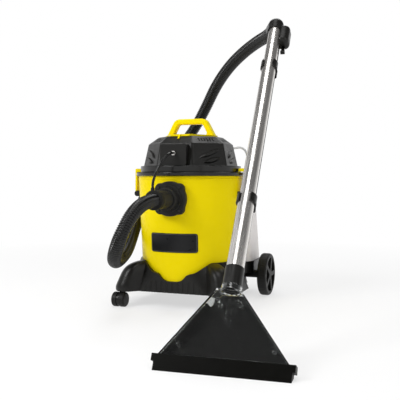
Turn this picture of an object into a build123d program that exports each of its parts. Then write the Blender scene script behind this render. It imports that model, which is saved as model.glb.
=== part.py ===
from build123d import *
import os
from math import atan2, cos, degrees, hypot, pi, radians, sin, tan

# Carpet cleaner: a spray-extraction wet vacuum with its hose and floor wand.
# Millimetres. The origin is on the ground under the tub's axis, +Z is up,
# the front of the machine looks along -Y and +X is its right side seen from the front.

# Fits
TURN_FIT = 0.06  # radial gap of a shaft that turns in its bore
SLIP_FIT = 0.10  # radial gap of a part pushed over another by hand
PART_GAP = 0.40  # air between parts that move past each other
SEAT_GAP = 0.20  # air under a part that lifts off its seat

# Tub
TUB_RIM_RADIUS = 161.0
TUB_FOOT_RADIUS = 147.5
TUB_FOOT_Z = 66.0
TUB_RIM_Z = 385.0
TUB_WALL = 3.0
TUB_FOOT_ROUND = 14.0
LABEL_WIDTH = 146.0
LABEL_HEIGHT = 56.0
LABEL_Z = 191.0
LABEL_THICKNESS = 1.0
LABEL_GLUE = 0.05  # film of glue between the label and the tub

# Rim band on the tub
BAND_RADIUS = 168.0
BAND_SHELF_RADIUS = 147.0
BAND_HEIGHT = 11.0

# Chassis
CHASSIS_BOTTOM_Z = 45.0
CHASSIS_TOP_Z = 132.0
CHASSIS_HALF_WIDTH = 154.0
CHASSIS_CORNER = 60.0
CHASSIS_WALL = 3.5
CHASSIS_FLOOR = 6.0
ARM_WIDTH = 64.0
FENDER = [  # rise above the chassis's bottom, how far the nose's centre falls short of the caster, width
    (0.0, 14.0, ARM_WIDTH),
    (26.0, 17.0, 62.0),
    (53.0, 27.0, 56.0),
    (70.0, 38.0, 49.0),
    (80.0, 53.0, 40.0),
    (86.0, 74.0, 30.0),
]
SIDE_HALF_WIDTH = 186.0
SIDE_TOP_HALF_WIDTH = 168.0
SIDE_FRONT_Y = -146.0
SIDE_TOP_FRONT_Y = -116.0
SIDE_BACK_Y = 28.0
SIDE_TOP_BACK_Y = 12.0
SIDE_TOP_Z = 104.0
SIDE_CORNER = 30.0
SIDE_WALL = 4.0
TONGUE_Z = 78.5
WAVE = [
    (-104, CHASSIS_TOP_Z),
    (-80, 114),
    (-62, 104),
    (-45, 99),
    (-33, 87),
    (-20, 80),
]
DECK_TOP_Z = 110.0
DECK_THICKNESS = 38.0
DECK_MARGIN = 3.0
FLUTE_RADIUS = 3.0
FLUTE_PITCH = 17.0
FLUTE_COUNT = 13

# Rear wheels and axle
WHEEL_RADIUS = 67.0
WHEEL_WIDTH = 29.0
WHEEL_TRACK = 402.0
AXLE_Y = 158.0
AXLE_RADIUS = 6.0
HUB_RADIUS = 15.0
HUB_BOSS = 6.0
SPOKE_COUNT = 5
SPOKE_WIDTH = 13.0
SPOKE_DEPTH = 9.0
WHEEL_RIM = 13.0

# Front casters
CASTER_X = 158.0
CASTER_Y = -157.5
CASTER_WHEEL_RADIUS = 21.5
CASTER_WHEEL_WIDTH = 16.0
CASTER_FORK_WIDTH = 8.0
CASTER_TRAIL = -16.0
CASTER_STEM_RADIUS = 5.5
CASTER_STEM_LENGTH = 30.0
CASTER_PIN_RADIUS = 3.0
CASTER_LIFT = 2.0

# Side latches
LATCH_WIDTH = 34.0
LATCH_TOP_Z = 408.0
LATCH_PIVOT_Z = 330.0
LATCH_PIVOT_OUT = 15.0
LATCH_PIN_RADIUS = 3.0
LATCH_EAR = 6.0
LATCH_PLATE = 6.0
LATCH_OUTER_X = 182.0
LATCH_HOOK_GAP = 3.2
LATCH_HOOK_LIFT = 2.0

# Suction inlet on the tub's front
INLET_Z = 319.5
INLET_SEAT_Y = -163.0
INLET_PAD = 84.0
INLET_PAD_DEPTH = 40.75
INLET_BORE_RADIUS = 26.0
FLANGE_SIDE = 90.0
FLANGE_CORNER = 17.0
FLANGE_BULGE_RADIUS = 50.5
FLANGE_THICKNESS = 14.0
FLANGE_COLLAR_RADIUS = 38.0
FLANGE_COLLAR = 4.0
INLET_SCREW_SPACING = 66.0
INLET_SCREW_RADIUS = 2.0
RING_RADIUS = 32.5
RING_LENGTH = 26.0
RING_GRIPS = 18
RING_GRIP_LENGTH = 18.2
CUFF_RADIUS = 26.0
CUFF_END_Y = -285.0
CUFF_BEAD = 1.5
CUFF_BEADS = 3
CUFF_BEAD_PITCH = 6.0
DEFLECTOR_WALL = 2.5
DEFLECTOR_LENGTH = 44.0
PORT_X = -33.0
PORT_Y = -216.0
PORT_RISE = 24.0
PORT_RADIUS = 6.0
SPIGOT_RADIUS = 3.0
SPIGOT_LENGTH = 16.0
CONNECTOR_HEIGHT = 8.0

# Suction hose
HOSE_RADIUS = 19.0
HOSE_BORE_RADIUS = 15.5
HOSE_RIB_DEPTH = 1.8
HOSE_RIB_COUNT = 200
HOSE_INSERT = 23.0
HOSE_PLAIN = 20.0
LINE_RADIUS = 4.0
LINE_BORE_RADIUS = 2.5

# Motor head
HEAD_FLANGE_RADIUS = 155.0
HEAD_FLANGE_HEIGHT = 19.0
HEAD_FOOT_RADIUS = 146.0
HEAD_SHOULDER_RADIUS = 131.0
HEAD_SHOULDER_Z = 481.0
HEAD_TOP_RADIUS = 100.0
HEAD_TOP_Z = 503.0
HEAD_WALL = 3.0
HEAD_SIDES = 8
HEAD_EDGE_ROUND = 9.0
SKIRT_DEPTH = 10.0
SKIRT_GAP = 2.4
BASE_PLATE = 4.0
SEAL_RADIUS = 153.0
SEAL_WIDTH = 4.0
SEAL_DEPTH = 3.0
FIN_Z = 448.0
FIN_DEPTH = 4.5
FIN_TOP_SHARE = 0.55  # size of a fin's top against its foot
FINS = [  # start, top bulge, end and bottom bulge of each fin, across and up from the facet's middle
    ((-38.0, -14.0), (4.0, 12.0), (46.0, 18.0), (10.0, -3.0)),
    ((-30.0, -27.0), (10.0, -9.0), (46.0, -6.0), (16.0, -24.0)),
]
LOUVRE_Z = 448.0
PANEL_HALF_WIDTH = 41.0
PANEL_FRONT_Y = -148.0
PANEL_TOP_Z = 478.0
NIPPLE_X = 3.0
NIPPLE_Z = 451.0
NIPPLE_RADIUS = 7.0
NIPPLE_FLANGE = 4.0
NIPPLE_THREAD_RADIUS = 4.0
BARB_RADIUS = 2.4
BARB_LENGTH = 8.0
LINK_RADIUS = 3.75
LINK_BORE_RADIUS = 2.5
LOUVRE_COUNT = 5
LOUVRE_PITCH = 9.0
LOUVRE_WIDTH = 58.0
LOUVRE_HEIGHT = 4.0
SLIT_COUNT = 6
SLIT_PITCH = 9.0
SLIT_LENGTH = 16.0
SLIT_WIDTH = 3.6

# Carry handle
HANDLE_BASE_HALF = 81.0
HANDLE_TOP_HALF = 50.0
HANDLE_TOP_Z = 561.0
HANDLE_BAR = 17.0
HANDLE_ROUND = 24.0
HANDLE_WINDOW_ROUND = 8.0
HANDLE_DEPTH = 26.0
HANDLE_Y = 5.0
HANDLE_PLATE = 6.0
HANDLE_APRON_HALF = 30.0
HANDLE_TONGUE_WIDTH = 5.0
HANDLE_TONGUE_DROP = 15.0

# Motor, fan, float and pump inside the head
MOTOR_RADIUS = 46.0
MOTOR_TOP_Z = 488.0
ROTOR_RADIUS = 30.0
ROTOR_GAP = 6.0
FAN_CASE_RADIUS = 64.0
FAN_CASE_HEIGHT = 36.0
FAN_RADIUS = 56.0
FAN_HEIGHT = 18.0
FAN_BLADES = 8
BLADE_TURN = 20.0
FAN_LIFT = 6.0
FAN_HUB_RADIUS = 10.0
EXHAUST_SLOTS = 12
BEARING_PLATE = 5.0
SHAFT_RADIUS = 4.0
SUCTION_EYE_RADIUS = 30.0
SHEET = 1.5
CAGE_RADIUS = 44.0
CAGE_DEPTH = 96.0
CAGE_WALL = 2.5
CAGE_SLOTS = 12
CAGE_SLOT_WIDTH = 12.0
FLOAT_RADIUS = 34.0
FLOAT_HEIGHT = 42.0
PUMP_X = -80.0
PUMP_Y = 34.0
PUMP_RADIUS = 22.0
PUMP_HEIGHT = 64.0
SWITCH_X = 28.0
SWITCH_Y = 52.0
SWITCH_WIDTH = 20.0
SWITCH_LENGTH = 26.0
SWITCH_SLOT = 33.0
SWITCH_RISE = 4.0
SWITCH_PIVOT = 5.0
SWITCH_DEPTH = 8.0
SWITCH_PIN_RADIUS = 2.0
SWITCH_WALL = 4.0
GLAND_X = 30.0
GLAND_Z = 446.0
GLAND_RADIUS = 9.0
GLAND_BORE_RADIUS = 4.2
GLAND_FLANGE = 4.0
GLAND_LENGTH = 22.0
SCREW_RADIUS = 2.0
SCREW_HEAD_RADIUS = 4.0
SCREW_HEAD = 2.5
HEAD_SCREW_X = 38.0
HEAD_SCREW_Y = 2.0
APRON_SCREW_X = 20.0
APRON_SCREW_Y = -80.0

# Clean-water tank
TANK_HALF_WIDTH = 159.0
TANK_TOP_HALF_WIDTH = 146.0
TANK_FRONT_Y = 112.0
TANK_BACK_Y = 262.0
TANK_TOP_Z = 296.0
TANK_CORNER = 38.0
TANK_TOP_ROUND = 22.0
TANK_WALL = 2.5
TANK_TUB_GAP = 3.0
NECK_X = -62.0
NECK_Y = 214.0
NECK_RADIUS = 25.0
NECK_HEIGHT = 14.0
CAP_WALL = 3.0
CAP_HEIGHT = 22.0
CAP_GRIPS = 20
PICKUP_RADIUS = 3.5
PICKUP_BORE_RADIUS = 2.5
PICKUP_TOP = 12.0
DIP_FLANGE_RADIUS = 7.0
DIP_FLANGE = 3.0
PICKUP_HOLE_RADIUS = 4.5
DIP_CLEARANCE = 8.0

# Wand and nozzle
WAND_X = 324.5
WAND_Y = -689.0
WAND_YAW = 3.0
WAND_LEAN = 37.5
NOZZLE_LEAN = 27.5
NOZZLE_LENGTH = 167.0
LIP_WIDTH = 290.0
LIP_STEP = 6.0
LIP_HEIGHT = 13.0
LIP_BAR_HEIGHT = 15.0
LIP_DEPTH = 26.0
LIP_SLOT = 8.0
LIP_SLOT_MARGIN = 10.0
COVER_FOOT_WIDTH = 264.0
COVER_NECK_WIDTH = 48.0
COVER_FOOT_DEPTH = 24.0
COVER_NECK_DEPTH = 45.0
RIB_LOW = 95.0
RIB_HIGH = 135.0
RIB_WIDTH = 3.0
BOSS_RADIUS = 5.0
BOSSES = [(22.0, 140.0), (98.0, 52.0)]
COVER_WALL = 3.0
BACK_PLATE = 4.0
BACK_RIM = 3.0
NECK_TUBE_RADIUS = 21.5
NECK_TUBE_RISE = 11.0
COLLAR_RADIUS = 20.5
COLLAR_TOP = 54.0
COLLAR_SPIGOT = 9.0
COLLAR_SPIGOT_RADIUS = 18.8
COLLAR_BORE_RADIUS = 16.0
COLLAR_SEAT = 30.0
TUBE_WALL = 0.9
LOWER_TUBE_RADIUS = 19.0
TUBE_LAP = 45.0
LOWER_TUBE_END = 241.0
MAIN_TUBE_END = 671.0
UPPER_TUBE_END = 815.0
CLIP_WALL = 4.0
CLIP_LENGTH = 22.0
SPRAY_LINE_RADIUS = 3.5
SPRAY_LINE_X = 9.5
SPRAY_LINE_Y = 27.5
SPRAY_LINE_BORE_RADIUS = 2.0
SPRAY_LINE_TURN = 20.0
SPRAY_LINE_LIFT = 9.0
JET_Z = 45.0
JET_WIDTH = 26.0
JET_HEIGHT = 18.0
JET_DEPTH = 15.0
JET_TIP = 8.0
CLIP_MOUTH = 26.0
ELBOW_AT = 818.0
ELBOW_COLLAR = 22.0
ELBOW_COLLAR_RADIUS = 20.5
ELBOW_WALL = 2.0
ELBOW_PORT_LENGTH = 50.0
ELBOW_SEAT = 25.0
ELBOW_HEADING = 112.0
VALVE_X = 24.0
VALVE_Y = 10.0
VALVE_WIDTH = 34.0
VALVE_DEPTH = 44.0
VALVE_BOTTOM = 750.0
VALVE_TOP = 812.0
VALVE_ROUND = 15.0
VALVE_EDGE_ROUND = 12.0
CLAMP_WALL = 4.0
CLAMP_INSET = 10.0
LINE_ENTRY = 10.0
TRIGGER_PIVOT = 761.0
TRIGGER_Y = 22.0
TRIGGER_WIDTH = 8.0
TRIGGER_THICKNESS = 5.0
TRIGGER_TIP = 736.0
TRIGGER_BARREL_RADIUS = 5.0
TRIGGER_KNOB_RADIUS = 5.5
TRIGGER_PIN_RADIUS = 2.0
TRIGGER_SLOT = 8.0

# Free tubes, chosen by hand: the suction hose from the cuff round to the wand,
# the solution hose from the head to the cuff, and the pickup tube into the tank.
HOSE_POINTS = [
    (0, -330, 319.5),
    (-9, -393, 292),
    (-30, -418, 236),
    (-58, -398, 186),
    (-90, -340, 156),
    (-118, -258, 148),
    (-140, -165, 162),
    (-166, -75, 198),
    (-186, 8, 250),
    (-196, 80, 318),
    (-180, 140, 392),
    (-132, 184, 460),
    (-76, 208, 530),
    (-28, 206, 608),
    (20, 186, 688),
    (78, 148, 742),
    (138, 106, 776),
    (196, 62, 797),
]
LINK_POINTS = [
    (3, -176, 451),
    (-6, -198, 436),
    (-17, -210, 410),
    (-28, -215, 383),
    (-33, -216, 364),
]
PICKUP_POINTS = [
    (108, 107, 475),
    (130, 128, 477),
    (139, 155, 455),
    (131, 177, 413),
    (112, 190, 352),
]
PICKUP_START = (89, 89, 468)
DIP_X = 112.0
DIP_Y = 190.0
HOSE_LEAD = 75.0
BEND_SHARE = 0.45


def tub_radius(z):
    """Outer radius of the tapered tub at a height."""
    share = (z - TUB_FOOT_Z) / (TUB_RIM_Z - TUB_FOOT_Z)
    return TUB_FOOT_RADIUS + (TUB_RIM_RADIUS - TUB_FOOT_RADIUS) * share


def keep(builder, label):
    """Name a finished piece and write it out."""
    builder.part.label = label
    export_step(builder.part, os.path.join("parts", f"{label}.step"))


def bend_radii(points):
    """Radius of the arc at each inner point of a tube's route."""
    route = [Vector(*point) for point in points]
    radii = []
    for before, here, after in zip(route, route[1:], route[2:]):
        run_in = here - before
        run_out = after - here
        shorter = min(run_in.length, run_out.length)
        half_turn = radians(run_in.get_angle(run_out)) / 2
        radii.append(BEND_SHARE * shorter / tan(half_turn))
    return radii


def steady_planes(wire, stations):
    """Cross planes along a route, without twist from one to the next."""
    planes = []
    across = Vector(1, 0, 0)
    for station in stations:
        heading = wire % station
        across = (across - heading * across.dot(heading)).normalized()
        planes.append(Plane(origin=wire @ station, x_dir=across, z_dir=heading))
    return planes


def report_tube(name, points, radius, bore, wire, part):
    """Print a tube's bends and compare its volume with section times length."""
    section = pi * (radius**2 - bore**2)
    print(name, "radii", [round(r) for r in bend_radii(points)])
    share = part.volume / (section * wire.length)
    print(name, "length", round(wire.length), "volume share", round(share, 3))


def tube_wire(points):
    """Straight runs joined by tangent arcs through a tube's route."""
    with BuildLine() as line:
        FilletPolyline(*points, radius=bend_radii(points))
    return line.wire()


os.makedirs("parts", exist_ok=True)

# Heights and places that follow from the driving sizes
BAND_TOP_Z = TUB_RIM_Z + BAND_HEIGHT
HEAD_BASE_Z = BAND_TOP_Z + SEAT_GAP
HEAD_FLANGE_Z = HEAD_BASE_Z + HEAD_FLANGE_HEIGHT
AXLE_Z = WHEEL_RADIUS
HEAD_LEVELS = [
    (HEAD_FLANGE_Z, HEAD_FOOT_RADIUS),
    (HEAD_SHOULDER_Z, HEAD_SHOULDER_RADIUS),
    (HEAD_TOP_Z, HEAD_TOP_RADIUS),
]
SIDES = {"left": -1, "right": 1}

# Tub: a tapered bucket with a flat pad for the suction inlet
with BuildPart() as tub:
    with BuildSketch(Plane.XZ):
        with BuildLine():
            Polyline(
                (0, TUB_FOOT_Z),
                (TUB_FOOT_RADIUS, TUB_FOOT_Z),
                (TUB_RIM_RADIUS, TUB_RIM_Z),
                (0, TUB_RIM_Z),
                close=True,
            )
        make_face()
    revolve(axis=Axis.Z)
    fillet(tub.edges().filter_by(GeomType.CIRCLE).group_by(Axis.Z)[0], TUB_FOOT_ROUND)
    with BuildSketch(Plane.XZ.offset(-INLET_SEAT_Y)):
        with Locations((0, INLET_Z)):
            RectangleRounded(INLET_PAD, INLET_PAD, FLANGE_CORNER)
    extrude(amount=-INLET_PAD_DEPTH)
    with BuildSketch(Plane.XZ):
        with BuildLine():
            Polyline(
                (0, TUB_FOOT_Z + TUB_WALL),
                (TUB_FOOT_RADIUS - TUB_WALL - TUB_FOOT_ROUND, TUB_FOOT_Z + TUB_WALL),
                (TUB_FOOT_RADIUS - TUB_WALL, TUB_FOOT_Z + TUB_WALL + TUB_FOOT_ROUND),
                (TUB_RIM_RADIUS - TUB_WALL, TUB_RIM_Z),
                (0, TUB_RIM_Z),
                close=True,
            )
        make_face()
    revolve(axis=Axis.Z, mode=Mode.SUBTRACT)
    with BuildSketch(Plane.XZ.offset(-INLET_SEAT_Y)):
        with Locations((0, INLET_Z)):
            Circle(INLET_BORE_RADIUS)
            with GridLocations(INLET_SCREW_SPACING, INLET_SCREW_SPACING, 2, 2):
                Circle(INLET_SCREW_RADIUS)
    extrude(amount=-INLET_PAD_DEPTH, mode=Mode.SUBTRACT)
keep(tub, "tub")

# Rim band: the black ring that caps the tub and carries the head
with BuildPart() as rim_band:
    with BuildSketch(Plane.XZ):
        with BuildLine():
            Polyline(
                (BAND_SHELF_RADIUS, TUB_RIM_Z),
                (BAND_RADIUS, TUB_RIM_Z),
                (BAND_RADIUS, BAND_TOP_Z),
                (BAND_SHELF_RADIUS, BAND_TOP_Z),
                close=True,
            )
        make_face()
    revolve(axis=Axis.Z)
    outer = rim_band.edges().filter_by(GeomType.CIRCLE).sort_by(SortBy.RADIUS)[-2:]
    fillet(outer, BAND_HEIGHT / 4)
keep(rim_band, "rim_band")

# Label plate: a thin curved plate on the tub's front
LABEL_RADIUS = tub_radius(LABEL_Z + LABEL_HEIGHT / 2) + LABEL_GLUE
label_low = LABEL_Z - LABEL_HEIGHT
label_high = LABEL_Z + LABEL_HEIGHT
label_low_radius = tub_radius(label_low) + LABEL_GLUE
label_high_radius = tub_radius(label_high) + LABEL_GLUE
with BuildPart() as label_plate:
    with BuildSketch(Plane.XZ.offset(LABEL_RADIUS + LABEL_THICKNESS)):
        with Locations((0, LABEL_Z)):
            RectangleRounded(LABEL_WIDTH, LABEL_HEIGHT, LABEL_HEIGHT / 8)
    extrude(amount=-LABEL_RADIUS / 2)
    with BuildSketch(Plane.XZ):
        with BuildLine():
            Polyline(
                (label_low_radius, label_low),
                (label_low_radius + LABEL_THICKNESS, label_low),
                (label_high_radius + LABEL_THICKNESS, label_high),
                (label_high_radius, label_high),
                close=True,
            )
        make_face()
    revolve(axis=Axis.Z, mode=Mode.INTERSECT)
keep(label_plate, "label_plate")

# Chassis: skirt, caster arms, wavy front edge, tank deck and axle beam
caster_reach = hypot(CASTER_X, CASTER_Y)
skirt_top_radius = tub_radius(CHASSIS_TOP_Z) + PART_GAP + CHASSIS_WALL
deck_half = TANK_HALF_WIDTH + DECK_MARGIN
deck_depth = TANK_BACK_Y + DECK_MARGIN - TANK_FRONT_Y
beam_half = (WHEEL_TRACK - WHEEL_WIDTH) / 2 - HUB_BOSS
tub_side = tub_radius(TANK_TOP_Z) + TANK_TUB_GAP
side_levels = [
    (CHASSIS_BOTTOM_Z, SIDE_HALF_WIDTH, SIDE_FRONT_Y, SIDE_BACK_Y),
    (SIDE_TOP_Z, SIDE_TOP_HALF_WIDTH, SIDE_TOP_FRONT_Y, SIDE_TOP_BACK_Y),
]
arm_root = TUB_FOOT_RADIUS - ARM_WIDTH / 2
wave_points = WAVE + [(0, TONGUE_Z)] + [(-x, z) for x, z in reversed(WAVE)]
with BuildPart() as chassis:
    for level, half, front, back in side_levels:
        with BuildSketch(Plane.XY.offset(level)):
            with Locations((0, (front + back) / 2)):
                RectangleRounded(2 * half, back - front, SIDE_CORNER)
    loft(ruled=True)
    for level, half, front, back in side_levels:
        with BuildSketch(Plane.XY.offset(level - SIDE_WALL)):
            with Locations((0, (front + back) / 2)):
                RectangleRounded(
                    2 * (half - SIDE_WALL), back - front - 2 * SIDE_WALL, SIDE_CORNER - SIDE_WALL
                )
    loft(ruled=True, mode=Mode.SUBTRACT)
    with BuildSketch(Plane.XY.offset(CHASSIS_BOTTOM_Z)):
        RectangleRounded(2 * CHASSIS_HALF_WIDTH, 2 * CHASSIS_HALF_WIDTH, CHASSIS_CORNER)
    with BuildSketch(Plane.XY.offset(CHASSIS_TOP_Z)):
        RectangleRounded(2 * skirt_top_radius, 2 * skirt_top_radius, skirt_top_radius - CHASSIS_WALL)
    loft()
    for side in SIDES.values():
        bearing = atan2(CASTER_Y, side * CASTER_X)
        for rise, short, width in FENDER:
            reach = caster_reach - short
            middle = (arm_root + reach) / 2
            with BuildSketch(Plane.XY.offset(CHASSIS_BOTTOM_Z + rise)):
                with Locations((middle * cos(bearing), middle * sin(bearing))):
                    SlotCenterToCenter(reach - arm_root, width, rotation=degrees(bearing))
        loft()
    with BuildSketch(Plane.XY.offset(DECK_TOP_Z)):
        with Locations((0, TANK_FRONT_Y + deck_depth / 2)):
            RectangleRounded(2 * deck_half, deck_depth, TANK_CORNER + DECK_MARGIN)
    extrude(amount=-DECK_THICKNESS)
    with BuildSketch(Plane.YZ.offset(-beam_half)):
        with Locations((AXLE_Y, AXLE_Z)):
            RectangleRounded(4 * AXLE_RADIUS, 4 * AXLE_RADIUS, AXLE_RADIUS)
    extrude(amount=2 * beam_half)
    with BuildSketch(Plane.XZ):
        with BuildLine():
            Polyline(
                (0, TUB_FOOT_Z),
                (TUB_FOOT_RADIUS + PART_GAP, TUB_FOOT_Z),
                (TUB_RIM_RADIUS + PART_GAP, TUB_RIM_Z),
                (0, TUB_RIM_Z),
                close=True,
            )
        make_face()
    revolve(axis=Axis.Z, mode=Mode.SUBTRACT)
    with BuildSketch(Plane.XZ):
        with BuildLine():
            Spline(*wave_points)
            Polyline(
                wave_points[-1],
                (wave_points[-1][0], 2 * CHASSIS_TOP_Z),
                (wave_points[0][0], 2 * CHASSIS_TOP_Z),
                wave_points[0],
            )
        make_face()
    extrude(amount=2 * CHASSIS_HALF_WIDTH, mode=Mode.SUBTRACT)
    with BuildSketch(Plane.XY.offset(CHASSIS_BOTTOM_Z)):
        Circle(TUB_FOOT_RADIUS - 2 * TUB_FOOT_ROUND)
    extrude(amount=TUB_FOOT_Z - CHASSIS_FLOOR - CHASSIS_BOTTOM_Z, mode=Mode.SUBTRACT)
    with BuildSketch(Plane.XY.offset(CHASSIS_BOTTOM_Z)):
        with Locations((0, -CHASSIS_HALF_WIDTH - FLUTE_RADIUS / 2)):
            with GridLocations(FLUTE_PITCH, 1, FLUTE_COUNT, 1):
                Circle(FLUTE_RADIUS)
    extrude(amount=TONGUE_Z - CHASSIS_BOTTOM_Z, mode=Mode.SUBTRACT)
    with BuildSketch(Plane.XY.offset(CHASSIS_BOTTOM_Z)):
        with Locations((CASTER_X, CASTER_Y), (-CASTER_X, CASTER_Y)):
            Circle(CASTER_STEM_RADIUS + TURN_FIT)
    extrude(amount=CASTER_STEM_LENGTH + SEAT_GAP, mode=Mode.SUBTRACT)
    with BuildSketch(Plane.YZ.offset(-beam_half)):
        with Locations((AXLE_Y, AXLE_Z)):
            Circle(AXLE_RADIUS)
    extrude(amount=2 * beam_half, mode=Mode.SUBTRACT)
    with BuildSketch(Plane.XY.offset(DECK_TOP_Z)):
        with Locations((0, TANK_FRONT_Y + deck_depth / 2)):
            Rectangle(4 * deck_half, deck_depth)
        Circle(tub_side - PART_GAP, mode=Mode.SUBTRACT)
    extrude(amount=CHASSIS_TOP_Z, mode=Mode.SUBTRACT)
keep(chassis, "chassis")

# Rear axle: a steel bar held in the beam, with a wheel on each end
axle_half = WHEEL_TRACK / 2 + WHEEL_WIDTH / 2 - SPOKE_DEPTH
with BuildPart() as rear_axle:
    with BuildSketch(Plane.YZ.offset(-axle_half)):
        with Locations((AXLE_Y, AXLE_Z)):
            Circle(AXLE_RADIUS)
    extrude(amount=2 * axle_half)
keep(rear_axle, "rear_axle")

# Rear wheels: moulded discs with spokes on the outer face and a blind hub
for name, side in SIDES.items():
    inner_x = side * (WHEEL_TRACK - WHEEL_WIDTH) / 2
    outer_x = side * (WHEEL_TRACK + WHEEL_WIDTH) / 2
    with BuildPart() as rear_wheel:
        with BuildSketch(Plane.YZ.offset(inner_x)):
            with Locations((AXLE_Y, AXLE_Z)):
                Circle(WHEEL_RADIUS)
        extrude(amount=side * WHEEL_WIDTH)
        tread = rear_wheel.edges().filter_by(GeomType.CIRCLE)
        fillet(tread, WHEEL_WIDTH / 6)
        with BuildSketch(Plane.YZ.offset(outer_x)):
            with Locations((AXLE_Y, AXLE_Z)):
                Circle(WHEEL_RADIUS - WHEEL_RIM)
                Circle(HUB_RADIUS, mode=Mode.SUBTRACT)
                with PolarLocations((WHEEL_RADIUS - WHEEL_RIM + HUB_RADIUS) / 2, SPOKE_COUNT):
                    Rectangle(WHEEL_RADIUS, SPOKE_WIDTH, mode=Mode.SUBTRACT)
        extrude(amount=-side * SPOKE_DEPTH, mode=Mode.SUBTRACT)
        with BuildSketch(Plane.YZ.offset(inner_x)):
            with Locations((AXLE_Y, AXLE_Z)):
                Circle(HUB_RADIUS)
        extrude(amount=-side * (HUB_BOSS - PART_GAP))
        with BuildSketch(Plane.YZ.offset(side * beam_half)):
            with Locations((AXLE_Y, AXLE_Z)):
                Circle(AXLE_RADIUS + TURN_FIT)
        extrude(amount=side * (axle_half - beam_half + PART_GAP), mode=Mode.SUBTRACT)
    keep(rear_wheel, f"rear_wheel_{name}")

# Front casters: a fork with its stem, and a pair of wheels on one axle that turns in the fork
pin_y = CASTER_Y + CASTER_TRAIL
pin_z = CASTER_WHEEL_RADIUS
fork_top_z = CHASSIS_BOTTOM_Z - SEAT_GAP
wheel_offset = CASTER_FORK_WIDTH / 2 + 2 * PART_GAP
for name, side in SIDES.items():
    caster_x = side * CASTER_X
    with BuildPart() as caster_fork:
        with BuildSketch(Plane.YZ.offset(caster_x - CASTER_FORK_WIDTH / 2)):
            with Locations((pin_y, pin_z)):
                Circle(CASTER_WHEEL_RADIUS - CASTER_LIFT)
            with Locations((CASTER_Y, (pin_z + fork_top_z) / 2)):
                Rectangle(4 * CASTER_STEM_RADIUS, fork_top_z - pin_z)
        extrude(amount=CASTER_FORK_WIDTH)
        with BuildSketch(Plane.XY.offset(fork_top_z)):
            with Locations((caster_x, CASTER_Y)):
                Circle(CASTER_STEM_RADIUS)
        extrude(amount=CASTER_STEM_LENGTH)
        with BuildSketch(Plane.YZ.offset(caster_x - CASTER_FORK_WIDTH)):
            with Locations((pin_y, pin_z)):
                Circle(CASTER_PIN_RADIUS + TURN_FIT)
        extrude(amount=2 * CASTER_FORK_WIDTH, mode=Mode.SUBTRACT)
    keep(caster_fork, f"caster_fork_{name}")
    with BuildPart() as caster_wheels:
        for face in (-1, 1):
            with BuildSketch(Plane.YZ.offset(caster_x + face * wheel_offset)):
                with Locations((pin_y, pin_z)):
                    Circle(CASTER_WHEEL_RADIUS)
            extrude(amount=face * CASTER_WHEEL_WIDTH)
        rims = caster_wheels.edges().filter_by(GeomType.CIRCLE).group_by(Axis.X)
        fillet(rims[0] + rims[-1], CASTER_WHEEL_WIDTH / 3)
        with BuildSketch(Plane.YZ.offset(caster_x - wheel_offset)):
            with Locations((pin_y, pin_z)):
                Circle(CASTER_PIN_RADIUS)
        extrude(amount=2 * wheel_offset)
    keep(caster_wheels, f"caster_wheels_{name}")

# Side latches: a bracket with a pin on each side of the tub, and the clips that turn on them
pivot_x = tub_radius(LATCH_PIVOT_Z) + LATCH_PIVOT_OUT
with BuildPart() as latch_brackets:
    for side in SIDES.values():
        for end in (-1, 1):
            ear_y = end * (LATCH_WIDTH / 2 + PART_GAP)
            with BuildSketch(Plane.XZ.offset(-ear_y)):
                with Locations((side * pivot_x, LATCH_PIVOT_Z)):
                    Circle(3 * LATCH_PIN_RADIUS)
                with Locations((side * (pivot_x - LATCH_PIVOT_OUT), LATCH_PIVOT_Z)):
                    Rectangle(2 * LATCH_PIVOT_OUT, 6 * LATCH_PIN_RADIUS)
            extrude(amount=-end * LATCH_EAR)
        with BuildSketch(Plane.XZ.offset(-LATCH_WIDTH / 2 - LATCH_EAR)):
            with Locations((side * pivot_x, LATCH_PIVOT_Z)):
                Circle(LATCH_PIN_RADIUS)
        extrude(amount=LATCH_WIDTH + 2 * LATCH_EAR)
    with BuildSketch(Plane.XZ):
        with BuildLine():
            Polyline(
                (0, TUB_FOOT_Z),
                (TUB_FOOT_RADIUS, TUB_FOOT_Z),
                (TUB_RIM_RADIUS, TUB_RIM_Z),
                (0, TUB_RIM_Z),
                close=True,
            )
        make_face()
    revolve(axis=Axis.Z, mode=Mode.SUBTRACT)
keep(latch_brackets, "latch_brackets")

hook_x = HEAD_FLANGE_RADIUS + LATCH_HOOK_GAP
hook_z = BAND_TOP_Z + LATCH_HOOK_LIFT
latch_foot_z = LATCH_PIVOT_Z - 2 * LATCH_PIN_RADIUS
for name, side in SIDES.items():
    outer_x = side * LATCH_OUTER_X
    inner_x = side * (LATCH_OUTER_X - LATCH_PLATE)
    foot_x = side * (pivot_x + LATCH_PLATE + LATCH_PIN_RADIUS)
    with BuildPart() as latch:
        with BuildSketch(Plane.XZ):
            with BuildLine():
                Polyline(
                    (foot_x, latch_foot_z),
                    (outer_x, TUB_RIM_Z),
                    (outer_x, LATCH_TOP_Z),
                    (side * hook_x, LATCH_TOP_Z),
                    (side * hook_x, hook_z),
                    (inner_x, hook_z),
                    (inner_x, TUB_RIM_Z),
                    (foot_x - side * LATCH_PLATE, latch_foot_z),
                    close=True,
                )
            make_face()
            with Locations((side * pivot_x, LATCH_PIVOT_Z)):
                Circle(2 * LATCH_PIN_RADIUS)
        extrude(amount=LATCH_WIDTH / 2, both=True)
        fillet(latch.edges().filter_by(Axis.Y).group_by(Axis.Z)[-1], LATCH_PLATE / 2)
        with BuildSketch(Plane.XZ):
            with Locations((side * pivot_x, LATCH_PIVOT_Z)):
                Circle(LATCH_PIN_RADIUS + TURN_FIT)
        extrude(amount=LATCH_WIDTH, both=True, mode=Mode.SUBTRACT)
    keep(latch, f"latch_{name}")

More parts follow.
